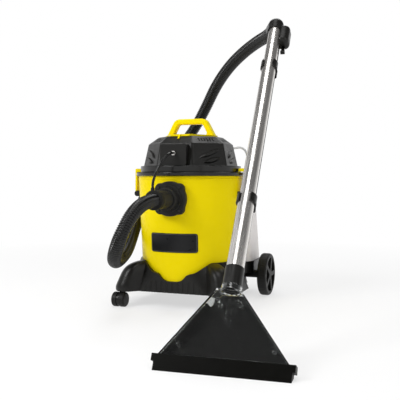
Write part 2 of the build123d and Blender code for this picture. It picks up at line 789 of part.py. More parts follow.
# Suction inlet: flange with the deflector inside the tub, screws, lock ring and hose cuff
flange_front = -INLET_SEAT_Y + FLANGE_THICKNESS
collar_front = flange_front + FLANGE_COLLAR
ring_front = collar_front + RING_LENGTH
cuff_back = -INLET_SEAT_Y + FLANGE_THICKNESS / 2
cuff_front = -CUFF_END_Y
hose_seat = cuff_front - HOSE_INSERT
with BuildPart() as inlet_flange:
    with BuildSketch(Plane.XZ.offset(-INLET_SEAT_Y)):
        with Locations((0, INLET_Z)):
            RectangleRounded(FLANGE_SIDE, FLANGE_SIDE, FLANGE_CORNER)
            Circle(FLANGE_BULGE_RADIUS)
    extrude(amount=FLANGE_THICKNESS)
    fillet(inlet_flange.faces().sort_by(Axis.Y)[0].edges(), FLANGE_THICKNESS / 4)
    with BuildSketch(Plane.XZ.offset(flange_front)):
        with Locations((0, INLET_Z)):
            Circle(FLANGE_COLLAR_RADIUS)
    extrude(amount=FLANGE_COLLAR)
    with BuildSketch(Plane.XZ.offset(collar_front)):
        with Locations((0, INLET_Z)):
            Circle(CUFF_RADIUS + SLIP_FIT)
    extrude(amount=cuff_back - collar_front, mode=Mode.SUBTRACT)
    with BuildSketch(Plane.XZ.offset(-INLET_SEAT_Y)):
        with Locations((0, INLET_Z)):
            Circle(HOSE_BORE_RADIUS)
            with GridLocations(INLET_SCREW_SPACING, INLET_SCREW_SPACING, 2, 2):
                Circle(INLET_SCREW_RADIUS)
    extrude(amount=FLANGE_THICKNESS, mode=Mode.SUBTRACT)
    with BuildSketch(Plane.XZ.offset(-INLET_SEAT_Y)):
        with Locations((0, INLET_Z)):
            Circle(INLET_BORE_RADIUS - SLIP_FIT)
            Circle(INLET_BORE_RADIUS - SLIP_FIT - DEFLECTOR_WALL, mode=Mode.SUBTRACT)
    extrude(amount=-DEFLECTOR_LENGTH)
    with BuildSketch(Plane.YZ):
        with BuildLine():
            Polyline(
                (INLET_SEAT_Y + DEFLECTOR_LENGTH, INLET_Z + INLET_BORE_RADIUS / 2),
                (INLET_SEAT_Y + DEFLECTOR_LENGTH / 2, INLET_Z - 2 * INLET_BORE_RADIUS),
                (INLET_SEAT_Y + 2 * DEFLECTOR_LENGTH, INLET_Z - 2 * INLET_BORE_RADIUS),
                (INLET_SEAT_Y + 2 * DEFLECTOR_LENGTH, INLET_Z + INLET_BORE_RADIUS / 2),
                close=True,
            )
        make_face()
    extrude(amount=2 * INLET_BORE_RADIUS, both=True, mode=Mode.SUBTRACT)
    with BuildSketch(Plane.XZ.offset(-INLET_SEAT_Y - DEFLECTOR_LENGTH)):
        with Locations((0, INLET_Z)):
            Circle(INLET_BORE_RADIUS - SLIP_FIT)
        with Locations((0, INLET_Z - INLET_BORE_RADIUS / 2)):
            Rectangle(2 * INLET_BORE_RADIUS, 2 * INLET_BORE_RADIUS, mode=Mode.SUBTRACT)
    extrude(amount=DEFLECTOR_WALL)
keep(inlet_flange, "inlet_flange")

with BuildPart() as inlet_screws:
    with BuildSketch(Plane.XZ.offset(flange_front)):
        with Locations((0, INLET_Z)):
            with GridLocations(INLET_SCREW_SPACING, INLET_SCREW_SPACING, 2, 2):
                Circle(2 * INLET_SCREW_RADIUS)
    extrude(amount=INLET_SCREW_RADIUS)
    with BuildSketch(Plane.XZ.offset(flange_front)):
        with Locations((0, INLET_Z)):
            with GridLocations(INLET_SCREW_SPACING, INLET_SCREW_SPACING, 2, 2):
                Circle(INLET_SCREW_RADIUS)
    extrude(amount=-FLANGE_THICKNESS - TUB_WALL)
keep(inlet_screws, "inlet_screws")

with BuildPart() as lock_ring:
    with BuildSketch(Plane.XZ.offset(collar_front + PART_GAP)):
        with Locations((0, INLET_Z)):
            Circle(RING_RADIUS)
    extrude(amount=RING_LENGTH - PART_GAP)
    fillet(lock_ring.faces().sort_by(Axis.Y)[0].edges(), RING_RADIUS / 12)
    with BuildSketch(Plane.XZ.offset(collar_front)):
        with Locations((0, INLET_Z)):
            Circle(CUFF_RADIUS + TURN_FIT)
    extrude(amount=RING_LENGTH, mode=Mode.SUBTRACT)
    with BuildSketch(Plane.XZ.offset(collar_front)):
        with Locations((0, INLET_Z)):
            with PolarLocations(RING_RADIUS + INLET_SCREW_RADIUS / 2, RING_GRIPS):
                Circle(INLET_SCREW_RADIUS)
    extrude(amount=RING_GRIP_LENGTH, mode=Mode.SUBTRACT)
keep(lock_ring, "lock_ring")

with BuildPart() as hose_cuff:
    with BuildSketch(Plane.XZ.offset(cuff_back)):
        with Locations((0, INLET_Z)):
            Circle(CUFF_RADIUS)
    extrude(amount=cuff_front - cuff_back)
    for bead in range(CUFF_BEADS):
        with BuildSketch(Plane.XZ.offset(cuff_front - 3 * CUFF_BEAD - bead * CUFF_BEAD_PITCH)):
            with Locations((0, INLET_Z)):
                Circle(CUFF_RADIUS + CUFF_BEAD)
        extrude(amount=2 * CUFF_BEAD)
    with BuildSketch(Plane.XZ.offset(cuff_back)):
        with Locations((0, INLET_Z)):
            Circle(HOSE_BORE_RADIUS)
    extrude(amount=cuff_front - cuff_back, mode=Mode.SUBTRACT)
    with BuildSketch(Plane.XZ.offset(hose_seat)):
        with Locations((0, INLET_Z)):
            Circle(HOSE_RADIUS + PART_GAP)
    extrude(amount=HOSE_INSERT, mode=Mode.SUBTRACT)
    with BuildSketch(Plane.YZ.offset(-CUFF_RADIUS - CUFF_BEAD)):
        with Locations((PORT_Y, INLET_Z)):
            Circle(LINE_RADIUS)
    extrude(amount=CUFF_RADIUS, mode=Mode.SUBTRACT)
keep(hose_cuff, "hose_cuff")

# Solution port: an upright socket beside the cuff that feeds the line inside the hose
port_top = INLET_Z + PORT_RISE
with BuildPart() as solution_port:
    with BuildSketch(Plane.XY.offset(INLET_Z - PORT_RADIUS)):
        with Locations((PORT_X, PORT_Y)):
            Circle(PORT_RADIUS)
    extrude(amount=PORT_RISE + PORT_RADIUS)
    with BuildSketch(Plane.YZ.offset(PORT_X)):
        with Locations((PORT_Y, INLET_Z)):
            Circle(LINE_RADIUS)
    extrude(amount=LINE_RADIUS - PORT_X)
    with BuildSketch(Plane.XZ.offset(-PORT_Y)):
        with Locations((0, INLET_Z)):
            Circle(LINE_RADIUS)
    extrude(amount=hose_seat + PORT_Y)
    with BuildSketch(Plane.XY.offset(port_top)):
        with Locations((PORT_X, PORT_Y)):
            Circle(SPIGOT_RADIUS + SLIP_FIT)
    extrude(amount=-SPIGOT_LENGTH - PART_GAP, mode=Mode.SUBTRACT)
keep(solution_port, "solution_port")

# Wand frame: lip on the ground, nozzle leaning back, wand axis leaning back further
yaw = radians(WAND_YAW)
lip_centre = Vector(WAND_X, WAND_Y, 0)
lip_across = Vector(cos(yaw), sin(yaw), 0)
lip_back = Vector(-sin(yaw), cos(yaw), 0)
upright = Vector(0, 0, 1)
nozzle_up = lip_back * sin(radians(NOZZLE_LEAN)) + upright * cos(radians(NOZZLE_LEAN))
wand_up = lip_back * sin(radians(WAND_LEAN)) + upright * cos(radians(WAND_LEAN))
nozzle_face = Plane(origin=lip_centre, x_dir=lip_across, z_dir=lip_across.cross(nozzle_up))
neck = lip_centre + nozzle_up * NOZZLE_LENGTH
elbow_centre = neck + wand_up * ELBOW_AT
heading = Vector(cos(radians(ELBOW_HEADING)), sin(radians(ELBOW_HEADING)), 0)
hose_end = elbow_centre + heading * ELBOW_SEAT


def wand_plane(along):
    """Plane across the wand, at a distance along it from the nozzle's neck."""
    return Plane(origin=neck + wand_up * along, x_dir=lip_across, z_dir=wand_up)


def nozzle_level(height):
    """Plane across the nozzle, at a height along its face from the lip."""
    return Plane(origin=lip_centre + nozzle_up * height, x_dir=lip_across, z_dir=nozzle_up)


# Suction hose: ribbed, with its bore, from the cuff round behind the machine to the wand
hose_route = [(0, -hose_seat, INLET_Z)] + HOSE_POINTS
hose_route += [tuple(hose_end + heading * HOSE_LEAD), tuple(hose_end)]
hose_wire = tube_wire(hose_route)
rib_pitch = (hose_wire.length - 2 * HOSE_PLAIN) / HOSE_RIB_COUNT
rib_profile = [(0.0, HOSE_RIB_DEPTH), (0.2, 0.0), (0.6, 0.0), (0.8, HOSE_RIB_DEPTH)]
stations = [0.0]
depths = [HOSE_RIB_DEPTH]
for rib in range(HOSE_RIB_COUNT):
    for share, depth in rib_profile:
        stations.append((HOSE_PLAIN + (rib + share) * rib_pitch) / hose_wire.length)
        depths.append(depth)
stations.append(1.0)
depths.append(HOSE_RIB_DEPTH)
hose_planes = steady_planes(hose_wire, stations)
with BuildPart() as suction_hose:
    for plane, depth in zip(hose_planes, depths):
        with BuildSketch(plane):
            Circle(HOSE_RADIUS - depth)
    loft(ruled=True)
    with BuildSketch(hose_planes[0]):
        Circle(HOSE_BORE_RADIUS)
    sweep(path=hose_wire, mode=Mode.SUBTRACT)
report_tube("suction hose", hose_route, HOSE_RADIUS, HOSE_BORE_RADIUS, hose_wire, suction_hose.part)
keep(suction_hose, "suction_hose")

# Solution line: the thin pressure tube that runs inside the suction hose
with BuildPart() as solution_line:
    with BuildSketch(hose_planes[0]):
        Circle(LINE_RADIUS)
        Circle(LINE_BORE_RADIUS, mode=Mode.SUBTRACT)
    sweep(path=hose_wire)
report_tube("solution line", hose_route, LINE_RADIUS, LINE_BORE_RADIUS, hose_wire, solution_line.part)
keep(solution_line, "solution_line")

# Head base: the flanged tray that sits on the rim band and carries the motor
HALF_SIDE = 180 / HEAD_SIDES
FLAT = cos(radians(HALF_SIDE))
base_floor = HEAD_BASE_Z + BASE_PLATE
ledge_radius = HEAD_FOOT_RADIUS * FLAT - 4 * HEAD_WALL
skirt_radius = BAND_SHELF_RADIUS - SKIRT_GAP
with BuildPart() as head_base:
    with BuildSketch(Plane.XZ):
        with BuildLine():
            Polyline(
                (SUCTION_EYE_RADIUS, HEAD_BASE_Z),
                (HEAD_FLANGE_RADIUS, HEAD_BASE_Z),
                (HEAD_FLANGE_RADIUS, HEAD_FLANGE_Z),
                (ledge_radius, HEAD_FLANGE_Z),
                (ledge_radius, HEAD_FLANGE_Z - BASE_PLATE),
                (HEAD_FLANGE_RADIUS - BASE_PLATE, HEAD_FLANGE_Z - BASE_PLATE),
                (HEAD_FLANGE_RADIUS - BASE_PLATE, base_floor),
                (SUCTION_EYE_RADIUS, base_floor),
                close=True,
            )
        make_face()
    revolve(axis=Axis.Z)
    flange_rims = head_base.edges().filter_by(GeomType.CIRCLE).sort_by(SortBy.RADIUS)[-2:]
    fillet(flange_rims, BASE_PLATE / 2)
    with BuildSketch(Plane.XY.offset(HEAD_BASE_Z)):
        Circle(skirt_radius)
        Circle(skirt_radius - HEAD_WALL, mode=Mode.SUBTRACT)
    extrude(amount=-SKIRT_DEPTH)
    with BuildSketch(Plane.XY.offset(HEAD_BASE_Z)):
        Circle(SEAL_RADIUS)
        Circle(SEAL_RADIUS - SEAL_WIDTH, mode=Mode.SUBTRACT)
    extrude(amount=SEAL_DEPTH, mode=Mode.SUBTRACT)
keep(head_base, "head_base")

with BuildPart() as head_seal:
    with BuildSketch(Plane.XY.offset(HEAD_BASE_Z)):
        Circle(SEAL_RADIUS)
        Circle(SEAL_RADIUS - SEAL_WIDTH, mode=Mode.SUBTRACT)
    extrude(amount=SEAL_DEPTH)
keep(head_seal, "head_seal")


def hood_sections(levels):
    """Eight-sided sections of the hood at the given heights and corner radii."""
    sections = []
    for level, radius in levels:
        with BuildSketch(Plane.XY.offset(level)) as section:
            RegularPolygon(radius, HEAD_SIDES, rotation=HALF_SIDE)
        sections.append(section.sketch)
    return sections


def facet_plane(turn, z):
    """Plane on the head's wall, facing out, at a turn from the front and a height."""
    share = (z - HEAD_FLANGE_Z) / (HEAD_SHOULDER_Z - HEAD_FLANGE_Z)
    out = (HEAD_FOOT_RADIUS + (HEAD_SHOULDER_RADIUS - HEAD_FOOT_RADIUS) * share) * FLAT
    lean = (HEAD_FOOT_RADIUS - HEAD_SHOULDER_RADIUS) * FLAT / (HEAD_SHOULDER_Z - HEAD_FLANGE_Z)
    aside = Vector(cos(radians(turn)), sin(radians(turn)), 0)
    away = Vector(sin(radians(turn)), -cos(radians(turn)), 0)
    return Plane(origin=away * out + Vector(0, 0, z), x_dir=aside, z_dir=away + Vector(0, 0, lean))


def shoulder_plane(turn):
    """Plane on the middle of the head's sloping shoulder, at a turn from the front."""
    out = (HEAD_SHOULDER_RADIUS + HEAD_TOP_RADIUS) / 2 * FLAT
    fall = (HEAD_SHOULDER_RADIUS - HEAD_TOP_RADIUS) * FLAT
    rise = HEAD_TOP_Z - HEAD_SHOULDER_Z
    aside = Vector(cos(radians(turn)), sin(radians(turn)), 0)
    away = Vector(sin(radians(turn)), -cos(radians(turn)), 0)
    middle = away * out + Vector(0, 0, (HEAD_SHOULDER_Z + HEAD_TOP_Z) / 2)
    return Plane(origin=middle, x_dir=aside, z_dir=away * rise + Vector(0, 0, fall))


# Head cover: the hood over the motor, with louvres, swept fins, slits and the switch wells
wall_inset = HEAD_WALL / FLAT
inner_levels = [
    (HEAD_FLANGE_Z, HEAD_FOOT_RADIUS - wall_inset),
    (HEAD_SHOULDER_Z - HEAD_WALL / 2, HEAD_SHOULDER_RADIUS - wall_inset),
    (HEAD_TOP_Z - HEAD_WALL, HEAD_TOP_RADIUS - wall_inset),
]
pickup_plane = Plane(origin=PICKUP_START, z_dir=Vector(*PICKUP_POINTS[0]) - Vector(*PICKUP_START))
well_depth = SWITCH_PIVOT + SWITCH_PIN_RADIUS + SWITCH_WALL
screw_places = [
    (HEAD_SCREW_X, HEAD_SCREW_Y),
    (-HEAD_SCREW_X, HEAD_SCREW_Y),
    (APRON_SCREW_X, APRON_SCREW_Y),
    (-APRON_SCREW_X, APRON_SCREW_Y),
]


def fin_sections(plane, outline):
    """Foot and top of a fin on the hood: two arcs each, with the top drawn in to the fin's middle."""
    middle = sum((Vector(*point) for point in outline), Vector(0, 0)) / len(outline)
    sections = []
    for height, share in ((-HEAD_WALL / 2, 1), (FIN_DEPTH, FIN_TOP_SHARE)):
        start, top, end, bottom = [middle + (Vector(*point) - middle) * share for point in outline]
        with BuildSketch(plane.offset(height)) as section:
            with BuildLine():
                ThreePointArc(start, top, end)
                ThreePointArc(end, bottom, start)
            make_face()
        sections.append(section.sketch)
    return sections


with BuildPart() as head_cover:
    loft(sections=hood_sections(HEAD_LEVELS), ruled=True)
    slanted = head_cover.edges().filter_by(lambda edge: abs((edge % 0.5).Z) > 0.2)
    fillet(slanted, HEAD_EDGE_ROUND)
    loft(sections=hood_sections(inner_levels), ruled=True, mode=Mode.SUBTRACT)
    for turn in (135, -135):
        with BuildSketch(facet_plane(turn, LOUVRE_Z)):
            with GridLocations(1, LOUVRE_PITCH, 1, LOUVRE_COUNT):
                SlotOverall(LOUVRE_WIDTH, LOUVRE_HEIGHT)
        extrude(amount=-2 * HEAD_WALL, mode=Mode.SUBTRACT)
    for turn in (45, 90, -45, -90):
        for fin in FINS:
            flip = 1 if turn > 0 else -1
            start, top, end, bottom = [(flip * across, up) for across, up in fin]
            loft(sections=fin_sections(facet_plane(turn, FIN_Z), [start, top, end, bottom]), ruled=True)
    for turn in (45, 90, -45, -90):
        with BuildSketch(shoulder_plane(turn)):
            with GridLocations(SLIT_PITCH, 1, SLIT_COUNT, 1):
                SlotOverall(SLIT_LENGTH, SLIT_WIDTH, rotation=90)
        extrude(amount=-2 * HEAD_WALL, mode=Mode.SUBTRACT)
    with BuildSketch(pickup_plane):
        Circle(2 * PICKUP_RADIUS)
    extrude(amount=-3 * HEAD_WALL)
    with BuildSketch(pickup_plane):
        Circle(BARB_RADIUS)
    extrude(amount=BARB_LENGTH)
    with BuildSketch(facet_plane(180, GLAND_Z)):
        with Locations((-GLAND_X, 0)):
            Circle(GLAND_RADIUS)
    extrude(amount=-2 * HEAD_WALL, mode=Mode.SUBTRACT)
    with BuildSketch(Plane.XY.offset(HEAD_TOP_Z - HEAD_WALL)):
        with Locations((SWITCH_X, SWITCH_Y), (-SWITCH_X, SWITCH_Y)):
            Rectangle(SWITCH_WIDTH + 2 * PART_GAP + 2 * SWITCH_WALL, SWITCH_SLOT + 2 * SWITCH_WALL)
    extrude(amount=HEAD_WALL - well_depth)
    with BuildSketch(Plane.XY.offset(HEAD_TOP_Z)):
        with Locations((SWITCH_X, SWITCH_Y), (-SWITCH_X, SWITCH_Y)):
            Rectangle(SWITCH_WIDTH + 2 * PART_GAP, SWITCH_SLOT)
    extrude(amount=-well_depth, mode=Mode.SUBTRACT)
    with BuildSketch(Plane.YZ.offset(-2 * SWITCH_X)):
        with Locations((SWITCH_Y, HEAD_TOP_Z - SWITCH_PIVOT)):
            Circle(SWITCH_PIN_RADIUS + TURN_FIT)
    extrude(amount=4 * SWITCH_X, mode=Mode.SUBTRACT)
    with BuildSketch(Plane.XY.offset(HEAD_TOP_Z)):
        with Locations(*screw_places):
            Circle(SCREW_RADIUS)
    extrude(amount=-2 * HEAD_WALL, mode=Mode.SUBTRACT)
keep(head_cover, "head_cover")

# Rocker switches for the vacuum and the pump, each drawn in its off position
switch_axis = HEAD_TOP_Z - SWITCH_PIVOT
for name, side in (("vacuum_switch", 1), ("pump_switch", -1)):
    with BuildPart() as rocker:
        with BuildSketch(Plane.YZ.offset(side * SWITCH_X - SWITCH_WIDTH / 2)):
            with BuildLine():
                Polyline(
                    (SWITCH_Y - SWITCH_LENGTH / 2, HEAD_TOP_Z + SWITCH_RISE),
                    (SWITCH_Y, HEAD_TOP_Z + SWITCH_RISE / 4),
                    (SWITCH_Y + SWITCH_LENGTH / 2, HEAD_TOP_Z + SWITCH_RISE / 4),
                    (SWITCH_Y + SWITCH_LENGTH / 2, HEAD_TOP_Z - SWITCH_DEPTH),
                    (SWITCH_Y - SWITCH_LENGTH / 2, HEAD_TOP_Z - SWITCH_DEPTH),
                    close=True,
                )
            make_face()
        extrude(amount=SWITCH_WIDTH)
        with BuildSketch(Plane.YZ.offset(side * SWITCH_X - SWITCH_WIDTH / 2 - SWITCH_WALL)):
            with Locations((SWITCH_Y, switch_axis)):
                Circle(SWITCH_PIN_RADIUS)
        extrude(amount=SWITCH_WIDTH + 2 * SWITCH_WALL)
    keep(rocker, name)

# Front panel: the hollow box on the head's front that carries the solution outlet
panel_middle = (PANEL_TOP_Z + HEAD_FLANGE_Z) / 2
with BuildPart() as front_panel:
    with BuildSketch(Plane.XZ.offset(-PANEL_FRONT_Y)):
        with Locations((0, panel_middle)):
            RectangleRounded(2 * PANEL_HALF_WIDTH, PANEL_TOP_Z - HEAD_FLANGE_Z, 2 * HEAD_WALL)
    extrude(amount=PANEL_FRONT_Y / 2)
    fillet(front_panel.faces().sort_by(Axis.Y)[0].edges(), HEAD_WALL / 2)
    with BuildSketch(Plane.XZ.offset(-PANEL_FRONT_Y - HEAD_WALL)):
        with Locations((0, panel_middle)):
            Rectangle(2 * (PANEL_HALF_WIDTH - HEAD_WALL), PANEL_TOP_Z - HEAD_FLANGE_Z - 2 * HEAD_WALL)
    extrude(amount=PANEL_FRONT_Y, mode=Mode.SUBTRACT)
    loft(sections=hood_sections(HEAD_LEVELS), ruled=True, mode=Mode.SUBTRACT)
    with BuildSketch(Plane.XZ.offset(-PANEL_FRONT_Y)):
        with Locations((NIPPLE_X, NIPPLE_Z)):
            Circle(NIPPLE_THREAD_RADIUS)
    extrude(amount=-2 * HEAD_WALL, mode=Mode.SUBTRACT)
keep(front_panel, "front_panel")

with BuildPart() as hose_nipple:
    with BuildSketch(Plane.XZ.offset(-PANEL_FRONT_Y)):
        with Locations((NIPPLE_X, NIPPLE_Z)):
            RegularPolygon(NIPPLE_RADIUS, 6)
    extrude(amount=NIPPLE_FLANGE)
    with BuildSketch(Plane.XZ.offset(-PANEL_FRONT_Y)):
        with Locations((NIPPLE_X, NIPPLE_Z)):
            Circle(NIPPLE_THREAD_RADIUS)
    extrude(amount=-2 * HEAD_WALL)
    with BuildSketch(Plane.XZ.offset(-PANEL_FRONT_Y)):
        with Locations((NIPPLE_X, NIPPLE_Z)):
            Circle(BARB_RADIUS)
    extrude(amount=NIPPLE_FLANGE + BARB_LENGTH)
keep(hose_nipple, "hose_nipple")

# Link hose and its plug: from the nipple down to the socket beside the cuff
plug_foot = port_top + PART_GAP
plug_top = plug_foot + CONNECTOR_HEIGHT
link_route = [(NIPPLE_X, PANEL_FRONT_Y - NIPPLE_FLANGE, NIPPLE_Z)] + LINK_POINTS
link_route += [(PORT_X, PORT_Y, plug_top)]
link_wire = tube_wire(link_route)
with BuildPart() as link_hose:
    with BuildSketch(steady_planes(link_wire, [0.0])[0]):
        Circle(LINK_RADIUS)
        Circle(LINK_BORE_RADIUS, mode=Mode.SUBTRACT)
    sweep(path=link_wire)
report_tube("link hose", link_route, LINK_RADIUS, LINK_BORE_RADIUS, link_wire, link_hose.part)
keep(link_hose, "link_hose")

with BuildPart() as link_connector:
    with BuildSketch(Plane.XY.offset(plug_foot)):
        with Locations((PORT_X, PORT_Y)):
            RegularPolygon(PORT_RADIUS, 6)
    extrude(amount=CONNECTOR_HEIGHT)
    with BuildSketch(Plane.XY.offset(plug_foot)):
        with Locations((PORT_X, PORT_Y)):
            Circle(SPIGOT_RADIUS)
    extrude(amount=-SPIGOT_LENGTH)
    with BuildSketch(Plane.XY.offset(plug_top)):
        with Locations((PORT_X, PORT_Y)):
            Circle(BARB_RADIUS)
    extrude(amount=BARB_LENGTH)
keep(link_connector, "link_connector")

# Carry handle: a loop on a base plate, with a tongue down the head's front slope
slope_out = (HEAD_SHOULDER_RADIUS - HEAD_TOP_RADIUS) * FLAT
slope_down = HEAD_TOP_Z - HEAD_SHOULDER_Z
slope = hypot(slope_out, slope_down)
apron_y = -HEAD_TOP_RADIUS * FLAT
tongue_far_y = apron_y - HANDLE_TONGUE_DROP * slope_out / slope
tongue_far_z = HEAD_TOP_Z - HANDLE_TONGUE_DROP * slope_down / slope
lift = (-HEAD_WALL * slope_down / slope, HEAD_WALL * slope_out / slope)
plate_top = HEAD_TOP_Z + HANDLE_PLATE
handle_lean = (HANDLE_BASE_HALF - HANDLE_TOP_HALF) / (HANDLE_TOP_Z - HEAD_TOP_Z)
leg = HANDLE_BAR * hypot(1, handle_lean)
with BuildPart() as carry_handle:
    with BuildSketch(Plane.XZ.offset(-HANDLE_Y)):
        with BuildLine():
            Polyline(
                (-HANDLE_BASE_HALF, HEAD_TOP_Z),
                (-HANDLE_TOP_HALF, HANDLE_TOP_Z),
                (HANDLE_TOP_HALF, HANDLE_TOP_Z),
                (HANDLE_BASE_HALF, HEAD_TOP_Z),
                close=True,
            )
        make_face()
    extrude(amount=HANDLE_DEPTH / 2, both=True)
    fillet(carry_handle.edges().filter_by(Axis.Y).group_by(Axis.Z)[-1], HANDLE_ROUND)
    with BuildSketch(Plane.XZ.offset(-HANDLE_Y)) as window:
        with BuildLine():
            Polyline(
                (-HANDLE_BASE_HALF + leg + HANDLE_PLATE * handle_lean, plate_top),
                (-HANDLE_TOP_HALF + leg - HANDLE_BAR * handle_lean, HANDLE_TOP_Z - HANDLE_BAR),
                (HANDLE_TOP_HALF - leg + HANDLE_BAR * handle_lean, HANDLE_TOP_Z - HANDLE_BAR),
                (HANDLE_BASE_HALF - leg - HANDLE_PLATE * handle_lean, plate_top),
                close=True,
            )
        make_face()
        fillet(window.vertices(), HANDLE_WINDOW_ROUND)
    extrude(amount=HANDLE_DEPTH, both=True, mode=Mode.SUBTRACT)
    grip = carry_handle.edges().filter_by(Axis.X).group_by(Axis.Z)
    fillet(grip[-1] + grip[-2], HANDLE_BAR / 4)
    with BuildSketch(Plane.XY.offset(HEAD_TOP_Z)):
        with BuildLine():
            Polyline(
                (-HANDLE_BASE_HALF, HANDLE_Y + HANDLE_DEPTH / 2),
                (HANDLE_BASE_HALF, HANDLE_Y + HANDLE_DEPTH / 2),
                (HANDLE_BASE_HALF, HANDLE_Y - HANDLE_DEPTH / 2),
                (HANDLE_APRON_HALF, apron_y),
                (-HANDLE_APRON_HALF, apron_y),
                (-HANDLE_BASE_HALF, HANDLE_Y - HANDLE_DEPTH / 2),
                close=True,
            )
        make_face()
    extrude(amount=HANDLE_PLATE)
    with BuildSketch(Plane.YZ.offset(-HANDLE_TONGUE_WIDTH / 2)):
        with BuildLine():
            Polyline(
                (apron_y, HEAD_TOP_Z),
                (tongue_far_y, tongue_far_z),
                (tongue_far_y + lift[0], tongue_far_z + lift[1]),
                (apron_y, plate_top),
                close=True,
            )
        make_face()
    extrude(amount=HANDLE_TONGUE_WIDTH)
    with BuildSketch(Plane.XY.offset(HEAD_TOP_Z)):
        with Locations(*screw_places):
            Circle(SCREW_RADIUS)
    extrude(amount=HANDLE_PLATE, mode=Mode.SUBTRACT)
keep(carry_handle, "carry_handle")

with BuildPart() as head_screws:
    with BuildSketch(Plane.XY.offset(plate_top)):
        with Locations(*screw_places):
            Circle(SCREW_HEAD_RADIUS)
    extrude(amount=SCREW_HEAD)
    with BuildSketch(Plane.XY.offset(plate_top)):
        with Locations(*screw_places):
            Circle(SCREW_RADIUS)
    extrude(amount=-HANDLE_PLATE - 2 * HEAD_WALL)
keep(head_screws, "head_screws")

# Fan housing, motor can, rotor and fan on the head base
fan_top = base_floor + FAN_CASE_HEIGHT
with BuildPart() as fan_housing:
    with BuildSketch(Plane.XY.offset(base_floor)):
        Circle(FAN_CASE_RADIUS)
    extrude(amount=FAN_CASE_HEIGHT)
    with BuildSketch(Plane.XY.offset(base_floor + SHEET)):
        Circle(FAN_CASE_RADIUS - SHEET)
    extrude(amount=FAN_CASE_HEIGHT - 2 * SHEET, mode=Mode.SUBTRACT)
    with BuildSketch(Plane.XY.offset(base_floor)):
        Circle(SUCTION_EYE_RADIUS)
    extrude(amount=SHEET, mode=Mode.SUBTRACT)
    with BuildSketch(Plane.XY.offset(fan_top)):
        Circle(FAN_HUB_RADIUS)
    extrude(amount=-SHEET, mode=Mode.SUBTRACT)
    with BuildSketch(Plane.XY.offset(base_floor + FAN_CASE_HEIGHT / 2)):
        with PolarLocations(FAN_CASE_RADIUS, EXHAUST_SLOTS):
            Rectangle(4 * SHEET, FAN_CASE_HEIGHT / 2)
    extrude(amount=FAN_CASE_HEIGHT / 3, mode=Mode.SUBTRACT)
keep(fan_housing, "fan_housing")

with BuildPart() as motor_can:
    with BuildSketch(Plane.XY.offset(fan_top)):
        Circle(MOTOR_RADIUS)
    extrude(amount=MOTOR_TOP_Z - fan_top)
    with BuildSketch(Plane.XY.offset(fan_top + BEARING_PLATE)):
        Circle(MOTOR_RADIUS - 2 * SHEET)
    extrude(amount=MOTOR_TOP_Z - fan_top - 2 * BEARING_PLATE, mode=Mode.SUBTRACT)
    with BuildSketch(Plane.XY.offset(fan_top)):
        Circle(SHAFT_RADIUS + TURN_FIT)
    extrude(amount=MOTOR_TOP_Z - fan_top, mode=Mode.SUBTRACT)
keep(motor_can, "motor_can")

core_foot = fan_top + BEARING_PLATE + ROTOR_GAP
core_height = MOTOR_TOP_Z - fan_top - 2 * BEARING_PLATE - 2 * ROTOR_GAP
with BuildPart() as motor_rotor:
    with BuildSketch(Plane.XY.offset(base_floor + FAN_LIFT)):
        Circle(SHAFT_RADIUS)
    extrude(amount=MOTOR_TOP_Z - base_floor - FAN_LIFT)
    with BuildSketch(Plane.XY.offset(core_foot)):
        Circle(ROTOR_RADIUS)
    extrude(amount=core_height)
keep(motor_rotor, "motor_rotor")

fan_foot = base_floor + FAN_LIFT
with BuildPart() as suction_fan:
    with BuildSketch(Plane.XY.offset(fan_foot)):
        Circle(FAN_RADIUS)
        Circle(SUCTION_EYE_RADIUS, mode=Mode.SUBTRACT)
    extrude(amount=SHEET)
    with BuildSketch(Plane.XY.offset(fan_foot + FAN_HEIGHT - SHEET)):
        Circle(FAN_RADIUS)
    extrude(amount=SHEET)
    with BuildSketch(Plane.XY.offset(fan_foot)):
        with PolarLocations((FAN_RADIUS + SUCTION_EYE_RADIUS) / 2, FAN_BLADES):
            Rectangle(FAN_RADIUS - SUCTION_EYE_RADIUS, SHEET, rotation=BLADE_TURN)
    extrude(amount=FAN_HEIGHT)
    with BuildSketch(Plane.XY.offset(fan_foot)):
        Circle(FAN_HUB_RADIUS)
    extrude(amount=FAN_HEIGHT)
    with BuildSketch(Plane.XY.offset(fan_foot)):
        Circle(SHAFT_RADIUS)
    extrude(amount=FAN_HEIGHT, mode=Mode.SUBTRACT)
keep(suction_fan, "suction_fan")

# Float and its cage under the suction eye
cage_foot = HEAD_BASE_Z - CAGE_DEPTH
with BuildPart() as float_cage:
    with BuildSketch(Plane.XY.offset(cage_foot)):
        Circle(CAGE_RADIUS)
    extrude(amount=CAGE_DEPTH)
    with BuildSketch(Plane.XY.offset(cage_foot + CAGE_WALL)):
        Circle(CAGE_RADIUS - CAGE_WALL)
    extrude(amount=CAGE_DEPTH, mode=Mode.SUBTRACT)
    with BuildSketch(Plane.XY.offset(cage_foot + 3 * CAGE_WALL)):
        with PolarLocations(CAGE_RADIUS, CAGE_SLOTS):
            Rectangle(4 * CAGE_WALL, CAGE_SLOT_WIDTH)
    extrude(amount=CAGE_DEPTH - 6 * CAGE_WALL, mode=Mode.SUBTRACT)
keep(float_cage, "float_cage")

with BuildPart() as float_ball:
    with BuildSketch(Plane.XY.offset(cage_foot + CAGE_WALL + SEAT_GAP)):
        Circle(FLOAT_RADIUS)
    extrude(amount=FLOAT_HEIGHT)
    fillet(float_ball.edges().filter_by(GeomType.CIRCLE), FLOAT_HEIGHT / 6)
keep(float_ball, "float")

